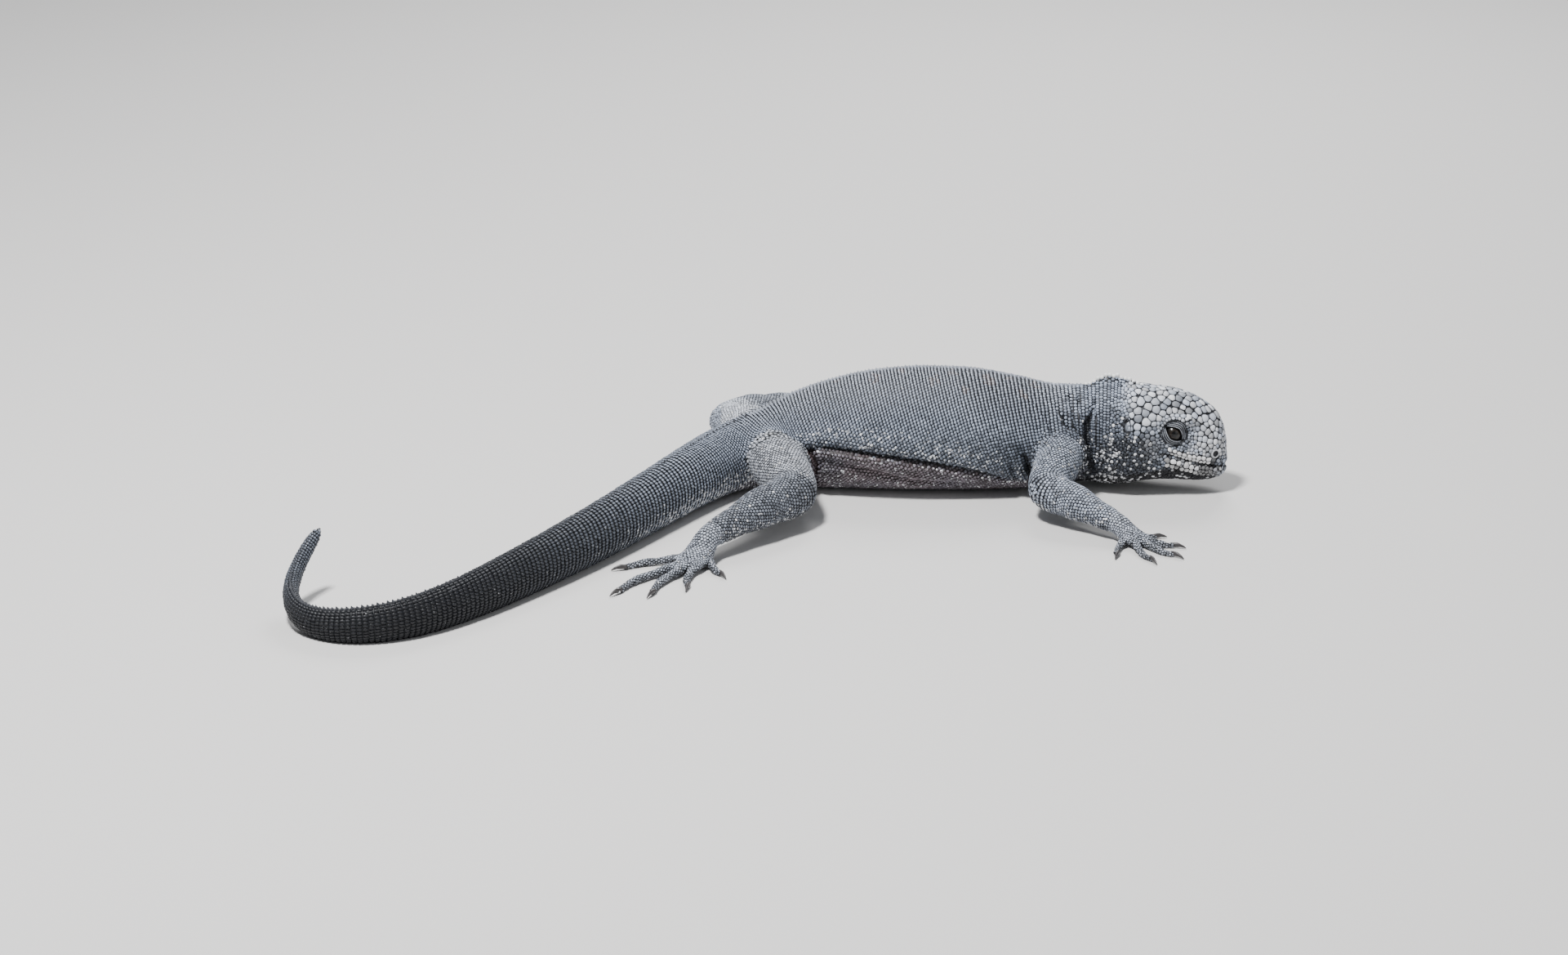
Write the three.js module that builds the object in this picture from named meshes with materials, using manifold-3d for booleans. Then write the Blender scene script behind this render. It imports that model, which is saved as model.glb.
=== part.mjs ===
// A young marine iguana, life size, lying at rest with its head up, one hind leg stretched out
// behind it and its tail swung to the same side with the tip curled up.
// Millimetres, +Z up, the head towards +X and the animal's right side towards -Y.
// The origin is the middle of its footprint, on the ground that it lies on.
import * as THREE from "three";
import { mergeVertices } from "three/addons/utils/BufferGeometryUtils.js";
import Module from "manifold-3d";

const wasm = await Module();
wasm.setup();

// Driving sizes. Distances along the body are measured back from the snout.
const BODY = {
  snoutToVent: 167,
  tailLength: 251,
  snoutX: 152,
  straightFrom: 62,
};
const CUT = 0.3; // gap between touching pieces
const GROUND_SINK = 0.35; // how far soft undersides are pressed flat

// How finely each form is faceted: sides round it and rings along it.
const FACETS = {
  head: [22, 14],
  neck: [24, 4],
  torso: [24, 17],
  tail_base: [16, 12],
  tail_middle: [12, 12],
  tail_end: [12, 9],
  tail_tip: [12, 12],
  room: [28, 60],
  mouth: [16, 8],
  bone: [12, 7],
  joint: [10, 6],
  sole: [10, 4],
  digit: [6, 6],
  claw: [4, 2],
  eye: [12, 8],
  brow: [10, 6],
  ear: [12, 6],
  lid: [5, 14],
};

const LENGTH = BODY.snoutToVent + BODY.tailLength;
const SPANS = {
  head: [0, 36],
  neck: [36, 49],
  torso: [49, 163],
  tail_base: [163, 240],
  tail_middle: [240, 330],
  tail_end: [330, 370],
  tail_tip: [370, LENGTH],
};

// Sections of the body: distance from the snout, top, bottom, height of the widest line,
// half width, and how square the upper and lower halves are (2 is an ellipse).
const SECTIONS = [
  [0, 13.2, 8.4, 10.6, 1.0, 2.0, 2.0],
  [0.5, 18.0, 6.1, 11.2, 3.7, 2.1, 2.1],
  [1.6, 22.6, 5.2, 11.8, 5.6, 2.2, 2.2],
  [3.2, 26.6, 4.5, 12.2, 7.0, 2.2, 2.3],
  [5.5, 29.2, 4.0, 12.6, 8.4, 2.2, 2.4],
  [10, 32.2, 3.8, 13.4, 10.2, 2.2, 2.5],
  [15, 34.2, 4.0, 14.2, 11.6, 2.3, 2.5],
  [20, 35.4, 4.1, 14.8, 12.7, 2.3, 2.5],
  [27, 35.9, 3.6, 14.6, 14.2, 2.2, 2.5],
  [34, 37.0, 2.2, 14.2, 15.2, 2.0, 2.5],
  [41, 37.9, 1.5, 14.4, 14.2, 1.7, 2.4],
  [48, 35.6, 1.9, 15.2, 13.2, 1.75, 2.3],
  [58, 35.8, 0.5, 16.0, 16.2, 1.7, 2.2],
  [72, 38.8, -0.4, 16.4, 19.2, 1.65, 2.2],
  [90, 41.8, -0.5, 16.4, 20.8, 1.65, 2.2],
  [104, 42.2, -0.5, 16.2, 20.8, 1.65, 2.2],
  [120, 41.0, -0.5, 16.0, 19.6, 1.65, 2.2],
  [136, 37.4, -0.4, 15.4, 17.2, 1.7, 2.2],
  [150, 32.2, -0.1, 14.4, 14.6, 1.8, 2.2],
  [160, 27.4, 0.2, 13.0, 12.4, 1.9, 2.2],
  [172, 24.2, 0.1, 12.0, 10.6, 1.95, 2.1],
  [190, 22.0, -0.2, 10.9, 9.2, 2.0, 2.1],
  [220, 20.0, -0.4, 9.8, 8.0, 2.0, 2.1],
  [260, 18.0, -0.4, 8.7, 6.9, 2.0, 2.1],
  [300, 15.6, -0.4, 7.4, 5.5, 2.0, 2.1],
  [340, 12.4, -0.4, 6.0, 4.1, 2.0, 2.1],
  [375, 9.0, -0.3, 4.5, 2.9, 2.0, 2.1],
  [398, 6.9, 0.2, 3.5, 2.2, 2.0, 2.1],
  [412, 5.6, 0.6, 3.1, 1.7, 2.0, 2.0],
  [416, 4.4, 1.4, 2.9, 1.1, 2.0, 2.0],
  [LENGTH, 3.2, 2.6, 2.8, 0.3, 2.0, 2.0],
];

// Where the tail points, in degrees turned towards the right side, and how it lifts at its tip.
const BEARINGS = [
  [0, -8],
  [34, -7],
  [52, -2],
  [62, 0],
  [146, 0],
  [162, 23],
  [179, 48],
  [196, 58],
  [226, 59],
  [262, 56],
  [300, 52],
  [326, 42],
  [346, 16],
  [362, -20],
  [378, -62],
  [392, -94],
  [408, -120],
  [LENGTH, -130],
];
const LIFTS = [
  [0, 0],
  [358, 0],
  [378, 12],
  [396, 26],
  [LENGTH, 40],
];

// A smooth value between listed stations, with no overshoot.
function between(table, column, at) {
  const last = table.length - 1;
  if (at <= table[0][0]) return table[0][column];
  if (at >= table[last][0]) return table[last][column];
  const i = table.findIndex((row) => row[0] > at) - 1;
  const slope = (k) => {
    if (k <= 0 || k >= last) return 0;
    const before = (table[k][column] - table[k - 1][column]) / (table[k][0] - table[k - 1][0]);
    const after = (table[k + 1][column] - table[k][column]) / (table[k + 1][0] - table[k][0]);
    return before * after <= 0 ? 0 : (2 * before * after) / (before + after);
  };
  const span = table[i + 1][0] - table[i][0];
  const u = (at - table[i][0]) / span;
  const rise = u * u * (3 - 2 * u);
  return (
    table[i][column] * (1 - rise) +
    table[i + 1][column] * rise +
    span * (slope(i) * (u ** 3 - 2 * u ** 2 + u) + slope(i + 1) * (u ** 3 - u ** 2))
  );
}

const radians = THREE.MathUtils.degToRad;

// The body's line, walked in both directions from where it is straight.
const STEP = 0.5;
function walkBodyLine() {
  const line = new Map();
  const direction = (at) => {
    const turn = radians(between(BEARINGS, 1, at));
    const lift = radians(between(LIFTS, 1, at));
    return new THREE.Vector3(-Math.cos(turn) * Math.cos(lift), -Math.sin(turn) * Math.cos(lift), Math.sin(lift));
  };
  for (const way of [1, -1]) {
    const point = new THREE.Vector3(BODY.snoutX - BODY.straightFrom, 0, 0);
    for (let at = BODY.straightFrom; at >= 0 && at <= LENGTH; at += way * STEP) {
      line.set(at, point.clone());
      point.addScaledVector(direction(at + (way * STEP) / 2), way * STEP);
    }
  }
  return { line, direction };
}
const WALK = walkBodyLine();

// Origin and directions of the body's section at a distance from the snout: "left" is the animal's left.
function bodyFrame(at) {
  const low = Math.floor(at / STEP) * STEP;
  const high = Math.min(low + STEP, LENGTH);
  const origin = WALK.line.get(low).clone().lerp(WALK.line.get(high), (at - low) / STEP);
  const back = WALK.direction(at);
  const left = new THREE.Vector3(0, 0, 1).cross(back).negate().normalize();
  const up = left.clone().cross(back).normalize();
  return { origin, back, left, up };
}

// A point on the body's surface: turn 0 is the back, a quarter is the left side, a half is the belly.
function bodyPoint(at, turn, grow = 0, share = 1) {
  const { origin, left, up } = bodyFrame(at);
  const [top, bottom, widest, half, upper, lower] = [1, 2, 3, 4, 5, 6].map((c) => between(SECTIONS, c, at));
  const angle = turn * 2 * Math.PI;
  const square = Math.cos(angle) >= 0 ? upper : lower;
  const height = Math.cos(angle) >= 0 ? top - widest : widest - bottom;
  const across = Math.sign(Math.sin(angle)) * Math.abs(Math.sin(angle)) ** (2 / square);
  const along = Math.sign(Math.cos(angle)) * Math.abs(Math.cos(angle)) ** (2 / square);
  return origin
    .clone()
    .addScaledVector(left, across * (half + grow) * share)
    .addScaledVector(up, widest + along * (height + grow) * share);
}

// Solids: a three.js geometry becomes a solid to join and cut.
function solid(geometry) {
  const bare = geometry.clone();
  bare.deleteAttribute("normal");
  bare.deleteAttribute("uv");
  const merged = mergeVertices(bare, 1e-4);
  const make = (triVerts) =>
    new wasm.Manifold(new wasm.Mesh({ numProp: 3, vertProperties: merged.attributes.position.array, triVerts }));
  const triVerts = new Uint32Array(merged.index.array);
  const made = make(triVerts);
  if (made.volume() > 0) return made;
  return make(triVerts.reverse());
}

const joined = (pieces) => pieces.reduce((all, piece) => all.add(piece));
const box = (sizes, centre) => solid(new THREE.BoxGeometry(...sizes).translate(...centre));
const BELOW_GROUND = box([900, 900, 60], [0, 0, -30]);

// The largest closed surface of a solid, so that no loose scrap or sealed hollow stays.
function largest(made) {
  return made.decompose().reduce((best, piece) => (piece.volume() > best.volume() ? piece : best));
}

// Moves every vertex of a unit cylinder: share runs 0 to 1 along it, turn round it, reach out from its middle.
function drawn([sides, rings], place) {
  const geometry = new THREE.CylinderGeometry(1, 1, 1, sides, rings);
  const position = geometry.attributes.position;
  for (let i = 0; i < position.count; i++) {
    const [x, y, z] = [position.getX(i), position.getY(i), position.getZ(i)];
    const reach = Math.min(1, Math.hypot(x, z));
    const turn = Math.round((Math.atan2(x, z) / (2 * Math.PI)) * sides) / sides;
    position.setXYZ(i, ...place(y + 0.5, turn, reach).toArray());
  }
  return solid(geometry);
}

// A length of the body, with flat ends square to its line.
function bodyLength(from, to, facets, grow = 0, ease = (share) => share) {
  return drawn(facets, (share, turn, reach) =>
    bodyPoint(from + (to - from) * ease(share), turn, grow, reach),
  );
}

// A limb, toe or claw: a bent round tube through named points, each with a width and a height.
function tube(knots, facets) {
  const curve = new THREE.CatmullRomCurve3(
    knots.map((k) => new THREE.Vector3(...k.at)),
    false,
    "centripetal",
  );
  const value = (name, share) => {
    const place = share * (knots.length - 1);
    const i = Math.min(Math.floor(place), knots.length - 2);
    const u = place - i;
    const ease = u * u * (3 - 2 * u);
    return knots[i][name] * (1 - ease) + knots[i + 1][name] * ease;
  };
  return drawn(facets, (share, turn, reach) => {
    const centre = curve.getPoint(share);
    const along = curve.getTangent(share);
    const side = new THREE.Vector3(0, 0, 1).cross(along).normalize();
    const over = along.clone().cross(side);
    const angle = turn * 2 * Math.PI;
    return centre
      .addScaledVector(side, Math.sin(angle) * value("wide", share) * 0.5 * reach)
      .addScaledVector(over, Math.cos(angle) * value("high", share) * 0.5 * reach);
  });
}

function ball(radii, centre, facets, turned = new THREE.Quaternion()) {
  const geometry = new THREE.SphereGeometry(1, ...facets);
  geometry.applyMatrix4(
    new THREE.Matrix4().compose(new THREE.Vector3(...centre), turned, new THREE.Vector3(...radii)),
  );
  return solid(geometry);
}

// Half of space, on the side that a direction points to from a point.
function halfSpace(point, direction, size = 220) {
  const turned = new THREE.Quaternion().setFromUnitVectors(
    new THREE.Vector3(0, 0, 1),
    new THREE.Vector3(...direction).normalize(),
  );
  const geometry = new THREE.BoxGeometry(size, size, size)
    .translate(0, 0, size / 2)
    .applyQuaternion(turned)
    .translate(...point);
  return solid(geometry);
}

// Crest: one leaf-shaped spine on the back line, its root sunk in.
function crestSpine(at, height, length, thick) {
  const { back, left, up } = bodyFrame(at);
  const root = bodyPoint(at, 0);
  const sunk = 0.9;
  const geometry = new THREE.ConeGeometry(0.5, height + sunk, 4)
    .scale(thick, 1, length)
    .translate(0, (height + sunk) / 2 - sunk, 0);
  const lean = back.clone().multiplyScalar(0.25).add(up).normalize();
  const forward = left.clone().cross(lean).normalize();
  geometry.applyMatrix4(new THREE.Matrix4().makeBasis(left, lean, forward).setPosition(root));
  return solid(geometry);
}

// Crest sizes: how far apart the spines stand and how high they are on the nape, back and tail.
const CREST = { napeStep: 1.75, backStep: 2.6, tailStep: 3.6, length: 1.25, napeThick: 1.5, thick: 1.0 };
const CREST_HEIGHTS = [
  [29, 0.9],
  [33, 2.0],
  [38, 2.6],
  [45, 2.0],
  [49, 1.1],
  [60, 0.9],
  [110, 1.1],
  [165, 1.0],
  [230, 1.1],
  [330, 1.3],
  [390, 1.1],
  [LENGTH, 0.6],
];
function crest(from, to) {
  const spines = [];
  const nape = to <= SPANS.neck[1];
  const step = nape ? CREST.napeStep : from < SPANS.torso[1] ? CREST.backStep : CREST.tailStep;
  const count = Math.floor((to - from - step * 0.6) / step);
  for (let i = 0; i <= count; i++) {
    const at = from + step * (0.6 + i);
    const vary = 1 + 0.12 * Math.sin(i * 2.4);
    const height = between(CREST_HEIGHTS, 1, at) * vary;
    spines.push(crestSpine(at, height, step * CREST.length, nape ? CREST.napeThick : CREST.thick));
  }
  return spines;
}

// All that lies behind a section of the body, or before it.
function beyondSection(at, way) {
  const { origin, back } = bodyFrame(at);
  return halfSpace(origin.toArray(), back.multiplyScalar(way).toArray());
}

// A length of the body with its crest, cut flat at both ends and under.
function bodyNode(name) {
  const [from, to] = SPANS[name];
  const start = from + CUT / 2;
  const end = to < LENGTH ? to - CUT / 2 : to;
  const spines = joined(crest(from, Math.min(to, LENGTH - 7)))
    .intersect(beyondSection(start, 1))
    .intersect(beyondSection(end, -1));
  return largest(bodyLength(start, end, FACETS[name]).add(spines).subtract(BELOW_GROUND));
}

// Head: features are placed by distance from the snout, height and side (left is 1, right is -1).
const EYE = { at: 18.1, height: 22.6, out: 9.2, radius: 3.3 };
const LID = { long: 3.15, tall: 2.55, thick: 0.85, tilt: 20, out: 2.35 };
const BROW = { at: 17.8, height: 27.2, out: 9.3, radii: [6.6, 2.3, 2.0] };
const NOSTRIL = { at: 3.6, height: 15.1, rim: 1.55, hole: 0.75, depth: 1.6, proud: 0.7 };
const EAR = { at: 33.8, height: 25.3, radii: [1.3, 1.6, 2.6] };
const MOUTH = { open: 0.55, deep: 1.1, steps: 10 };
const MOUTH_LINE = [
  [-2, 8.9],
  [0.5, 9.3],
  [4.5, 10.7],
  [10, 12.1],
  [15, 13.7],
  [20, 15.3],
  [24, 16.0],
];

function headPoint(at, height, out) {
  const { origin, left, up } = bodyFrame(Math.max(0, at));
  return origin.clone().addScaledVector(left, out).addScaledVector(up, height);
}

// Where the head's side is, at a distance from the snout and a height, and which way it faces.
function headSurface(at, height, side) {
  const [top, bottom, widest, half, upper, lower] = [1, 2, 3, 4, 5, 6].map((c) => between(SECTIONS, c, at));
  const square = height >= widest ? upper : lower;
  const share = Math.min(0.999, Math.abs(height - widest) / (height >= widest ? top - widest : widest - bottom));
  const turnCos = share ** (square / 2);
  const angle = Math.acos(height >= widest ? turnCos : -turnCos) / (2 * Math.PI);
  return surfaceAt(at, side > 0 ? angle : 1 - angle);
}

// A surface point with its outward direction and the direction back along the body.
function surfaceAt(at, turn) {
  const point = bodyPoint(at, turn);
  const onward = bodyPoint(at + 0.4, turn).sub(bodyPoint(Math.max(0, at - 0.4), turn));
  const round = bodyPoint(at, turn + 0.008).sub(bodyPoint(at, turn - 0.008));
  const out = round.clone().cross(onward).normalize();
  if (out.dot(point.clone().sub(bodyPoint(at, turn, 0, 0.2))) < 0) out.negate();
  return { point, out, back: onward.normalize() };
}

function facing(out, back, roll = 0) {
  const z = out.clone();
  const x = back.clone().addScaledVector(z, -back.dot(z)).normalize();
  const y = z.clone().cross(x);
  const turned = new THREE.Quaternion().setFromRotationMatrix(new THREE.Matrix4().makeBasis(x, y, z));
  return turned.multiply(new THREE.Quaternion().setFromAxisAngle(new THREE.Vector3(0, 0, 1), roll));
}

function eyeCentre(side) {
  return headPoint(EYE.at, EYE.height, side * EYE.out);
}

function lidRing(side) {
  const skin = headSurface(EYE.at, EYE.height, side);
  const centre = eyeCentre(side).addScaledVector(skin.out, LID.out);
  const tube = 0.28;
  const geometry = new THREE.TorusGeometry(1, tube, ...FACETS.lid)
    .scale(LID.long, LID.tall, LID.thick / tube)
    .applyQuaternion(facing(skin.out, skin.back, side * radians(LID.tilt)))
    .translate(...centre.toArray());
  return solid(geometry);
}

function nostrilPieces(side) {
  const skin = headSurface(NOSTRIL.at, NOSTRIL.height, side);
  const turned = facing(skin.out, skin.back).multiply(
    new THREE.Quaternion().setFromAxisAngle(new THREE.Vector3(1, 0, 0), Math.PI / 2),
  );
  const post = (radius, tall, lift) => {
    const geometry = new THREE.CylinderGeometry(radius * 0.75, radius * 1.15, tall, 10)
      .applyQuaternion(turned)
      .translate(...skin.point.clone().addScaledVector(skin.out, lift).toArray());
    return solid(geometry);
  };
  return {
    rim: post(NOSTRIL.rim, NOSTRIL.proud * 2, 0),
    hole: post(NOSTRIL.hole, NOSTRIL.depth * 2, NOSTRIL.proud * 0.6),
  };
}

// The groove between the lips: a thin bent plate across the head, less the head's own core.
function mouthGroove() {
  const [first, last] = [MOUTH_LINE[0][0], MOUTH_LINE[MOUTH_LINE.length - 1][0]];
  const geometry = new THREE.BoxGeometry(1, 1, 1, MOUTH.steps, 1, 1);
  const position = geometry.attributes.position;
  for (let i = 0; i < position.count; i++) {
    const at = first + (last - first) * (position.getX(i) + 0.5);
    const taper = position.getX(i) > 0.45 ? 0.3 : 1;
    const height = between(MOUTH_LINE, 1, at) + position.getZ(i) * MOUTH.open * taper;
    const point = headPoint(at, height, position.getY(i) * 60);
    if (at < 0) point.addScaledVector(bodyFrame(0).back, at);
    position.setXYZ(i, ...point.toArray());
  }
  return solid(geometry).subtract(bodyLength(0.9, SPANS.head[1] + 4, FACETS.mouth, -MOUTH.deep));
}

// A raised scale: a low plate with sloping edges, its underside sunk in the skin.
function scalePlate(sides, long, wide, high, skin, roll) {
  const geometry = new THREE.CylinderGeometry(0.55, 1, 1, sides)
    .rotateX(Math.PI / 2)
    .rotateZ(Math.PI / 4)
    .scale(long, wide, high * 2)
    .applyQuaternion(facing(skin.out, skin.back, roll))
    .translate(...skin.point.toArray());
  return solid(geometry);
}

// Lip scales: a row of low beads above and below the groove.
const LIPS = { sides: 4, from: 2.4, to: 23, count: 8, size: 1.5, above: 1.35, below: 1.35, high: 0.4 };
function lipScales(side) {
  const scales = [];
  for (let i = 0; i < LIPS.count; i++) {
    const at = LIPS.from + ((LIPS.to - LIPS.from) * i) / (LIPS.count - 1);
    for (const offset of [LIPS.above, -LIPS.below]) {
      const skin = headSurface(at, between(MOUTH_LINE, 1, at) + offset, side);
      scales.push(scalePlate(LIPS.sides, LIPS.size, LIPS.size * 0.65, LIPS.high, skin, 0));
    }
  }
  return scales;
}

// Scales on the head: raised plates set in a spiral over the crown, brow and snout.
const PLATES = { sides: 5, count: 68, from: 1.4, to: 34, reach: 0.32, size: 2.2, high: 0.55 };
function headPlates() {
  const plates = [];
  const turnStep = (3 - Math.sqrt(5)) / 2;
  const eyes = [eyeCentre(1), eyeCentre(-1)];
  const noses = [1, -1].map((side) => headSurface(NOSTRIL.at, NOSTRIL.height, side).point);
  for (let i = 0; i < PLATES.count; i++) {
    const at = PLATES.from + ((PLATES.to - PLATES.from) * (i + 0.5)) / PLATES.count;
    const turn = ((i * turnStep) % 1) - 0.5;
    if (Math.abs(turn) > PLATES.reach) continue;
    const skin = surfaceAt(at, turn);
    if (eyes.some((eye) => eye.distanceTo(skin.point) < EYE.radius + 2.1)) continue;
    if (noses.some((nose) => nose.distanceTo(skin.point) < NOSTRIL.rim + 1.2)) continue;
    const size = PLATES.size * (0.82 + 0.3 * Math.sin(i * 1.7) ** 2) * (Math.abs(turn) > 0.2 ? 0.8 : 1);
    plates.push(scalePlate(PLATES.sides, size, size * 0.9, PLATES.high, skin, i));
  }
  return plates;
}

function headNode() {
  const ease = (share) => share ** 1.8;
  const sides = [1, -1];
  const flesh = bodyLength(0, SPANS.head[1] - CUT / 2, FACETS.head, 0, ease);
  const brows = sides.map((side) => {
    const centre = headPoint(BROW.at, BROW.height, side * BROW.out).toArray();
    return ball(BROW.radii, centre, FACETS.brow, facing(bodyFrame(BROW.at).up, bodyFrame(BROW.at).back));
  });
  const nostrils = sides.map(nostrilPieces);
  let head = joined([
    flesh,
    ...brows,
    ...nostrils.map((piece) => piece.rim),
    ...headPlates(),
    ...sides.flatMap(lipScales),
    joined(crest(SPANS.head[1] - 7, SPANS.head[1])).intersect(beyondSection(SPANS.head[1] - CUT / 2, -1)),
  ]);
  for (const side of sides) {
    const socket = EYE.radius + CUT;
    head = head.subtract(ball([socket, socket, socket], eyeCentre(side).toArray(), FACETS.eye));
  }
  for (const side of sides) {
    const room = EYE.radius + CUT;
    const lids = lidRing(side).subtract(ball([room, room, room], eyeCentre(side).toArray(), FACETS.eye));
    const drum = headSurface(EAR.at, EAR.height, side);
    const turned = facing(bodyFrame(EAR.at).up, bodyFrame(EAR.at).back);
    const cup = ball(EAR.radii, drum.point.toArray(), FACETS.ear, turned);
    head = head.add(lids).subtract(cup);
  }
  for (const piece of nostrils) head = head.subtract(piece.hole);
  return largest(head.subtract(mouthGroove()).subtract(BELOW_GROUND));
}

const eyeNode = (side) =>
  ball([EYE.radius, EYE.radius, EYE.radius], eyeCentre(side).toArray(), FACETS.eye);

// Limbs: joints and the width and height of the limb along each bone. Each foot has a heading on the
// ground, and its digits are listed from the inner one: how far each turns from that heading,
// how far out on the sole it starts, its length and its thickness.
const HIND_DIGITS = [
  { turn: 58, root: 7, length: 10.5, thick: 2.7 },
  { turn: 24, root: 11, length: 17, thick: 2.8 },
  { turn: 6, root: 12.5, length: 25, thick: 2.9 },
  { turn: -10, root: 12, length: 31, thick: 2.9 },
  { turn: -40, root: 7.5, length: 23, thick: 2.7 },
];
const FORE_DIGITS = [
  { turn: 58, root: 5.5, length: 7.5, thick: 2.4 },
  { turn: 26, root: 8, length: 12, thick: 2.5 },
  { turn: 2, root: 8.5, length: 15.5, thick: 2.6 },
  { turn: -24, root: 8, length: 15, thick: 2.6 },
  { turn: -60, root: 6, length: 10.5, thick: 2.4 },
];
const CLAW = { length: 3.6, thick: 1.35 };
const LIMBS = {
  hind_right: {
    side: -1,
    names: ["thigh", "shank", "hind_foot"],
    root: { at: [-4, -2, 14.5], wide: 24, high: 21 },
    upper: { at: [-2, -20, 14], wide: 20, high: 18 },
    bend: { at: [3, -41, 11.4], wide: 15.5, high: 15.5 },
    calf: { at: [-7, -53, 10.6], wide: 14.4, high: 13.4 },
    lower: { at: [-17, -64, 9], wide: 10.6, high: 9.6 },
    ankle: { at: [-24.5, -72.5, 7.4], wide: 8.6, high: 7.8 },
    heading: -123,
    sole: { length: 14, wide: 13.5, high: 4.6 },
    digits: HIND_DIGITS,
  },
  hind_left: {
    side: 1,
    names: ["thigh", "shank", "hind_foot"],
    root: { at: [-4, 2, 14.5], wide: 23, high: 20 },
    upper: { at: [-11, 17, 13.5], wide: 18, high: 16.5 },
    bend: { at: [-19, 32, 11.2], wide: 14.4, high: 13.4 },
    calf: { at: [-12, 46, 9.8], wide: 13.6, high: 12.8 },
    lower: { at: [-5, 57, 8], wide: 10.2, high: 9.4 },
    ankle: { at: [1, 66, 6.4], wide: 8.4, high: 7.8 },
    heading: 40,
    sole: { length: 14, wide: 13.5, high: 4.6 },
    digits: HIND_DIGITS,
  },
  fore_right: {
    side: -1,
    names: ["upper_arm", "forearm", "fore_foot"],
    root: { at: [95, -3, 16], wide: 18, high: 18 },
    upper: { at: [93, -21, 14.8], wide: 15.5, high: 15.5 },
    bend: { at: [89, -36, 10.6], wide: 13.6, high: 13.6 },
    calf: { at: [96.5, -43, 9], wide: 12.8, high: 12 },
    lower: { at: [105, -50, 6.8], wide: 9.4, high: 8.6 },
    ankle: { at: [111, -55, 5.2], wide: 7.6, high: 6.8 },
    heading: -46,
    sole: { length: 9.5, wide: 11, high: 4.2 },
    digits: FORE_DIGITS,
  },
  fore_left: {
    side: 1,
    names: ["upper_arm", "forearm", "fore_foot"],
    root: { at: [95, 3, 16], wide: 18, high: 18 },
    upper: { at: [90, 21, 14], wide: 14.5, high: 14.5 },
    bend: { at: [86, 36, 9.6], wide: 12.4, high: 12.4 },
    calf: { at: [93.5, 42.5, 8.2], wide: 11.6, high: 10.8 },
    lower: { at: [101, 49, 6.4], wide: 8.8, high: 8 },
    ankle: { at: [107, 54.5, 5], wide: 7.4, high: 6.8 },
    heading: 24,
    sole: { length: 9.5, wide: 11, high: 4.2 },
    digits: FORE_DIGITS,
  },
};

// A point on the ground at a distance from a joint, in a direction given in degrees.
function onGround(from, degrees, distance, height) {
  const turn = radians(degrees);
  return [from[0] + Math.cos(turn) * distance, from[1] + Math.sin(turn) * distance, height];
}

// A digit: slender, thicker at its knuckles, ending in a bent claw.
function digit(limb, plan) {
  const turned = limb.heading - limb.side * plan.turn;
  const rooted = limb.heading - limb.side * plan.turn * 0.55;
  const root = onGround(limb.ankle.at, rooted, plan.root - 5, 2.9);
  const start = onGround(limb.ankle.at, rooted, plan.root, 2.4);
  const low = plan.thick / 2 - GROUND_SINK;
  const knuckle = (share, size, rise) => {
    const bow = limb.side * 7 * Math.sin(Math.PI * share);
    const at = onGround(start, turned + bow, plan.length * share, low + rise);
    return { at, wide: plan.thick * size, high: plan.thick * size * 0.94 };
  };
  const flesh = tube(
    [
      { at: root, wide: plan.thick * 1.2, high: plan.thick * 1.05 },
      { at: start, wide: plan.thick * 1.15, high: plan.thick * 1.1 },
      knuckle(0.3, 1.1, 0.75),
      knuckle(0.45, 0.92, 0.5),
      knuckle(0.62, 1.0, 0.4),
      knuckle(0.8, 0.82, 0.1),
      knuckle(1, 0.72, 0.1),
    ],
    FACETS.digit,
  );
  const end = knuckle(1, 1, 0).at;
  const back = onGround(end, turned, -1.6, low + 0.15);
  const claw = tube(
    [
      { at: back, wide: CLAW.thick, high: CLAW.thick * 1.15 },
      { at: onGround(end, turned, 0.4, low + 0.35), wide: CLAW.thick * 0.9, high: CLAW.thick * 1.25 },
      { at: onGround(end, turned, CLAW.length * 0.6, low + 0.1), wide: 0.8, high: 1.0 },
      { at: onGround(end, turned, CLAW.length, 0.45), wide: 0.3, high: 0.35 },
    ],
    FACETS.claw,
  );
  return flesh.add(claw);
}

const BODY_ROOM = bodyLength(SPANS.head[1] - 4, SPANS.tail_base[1], FACETS.room, CUT);

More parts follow.
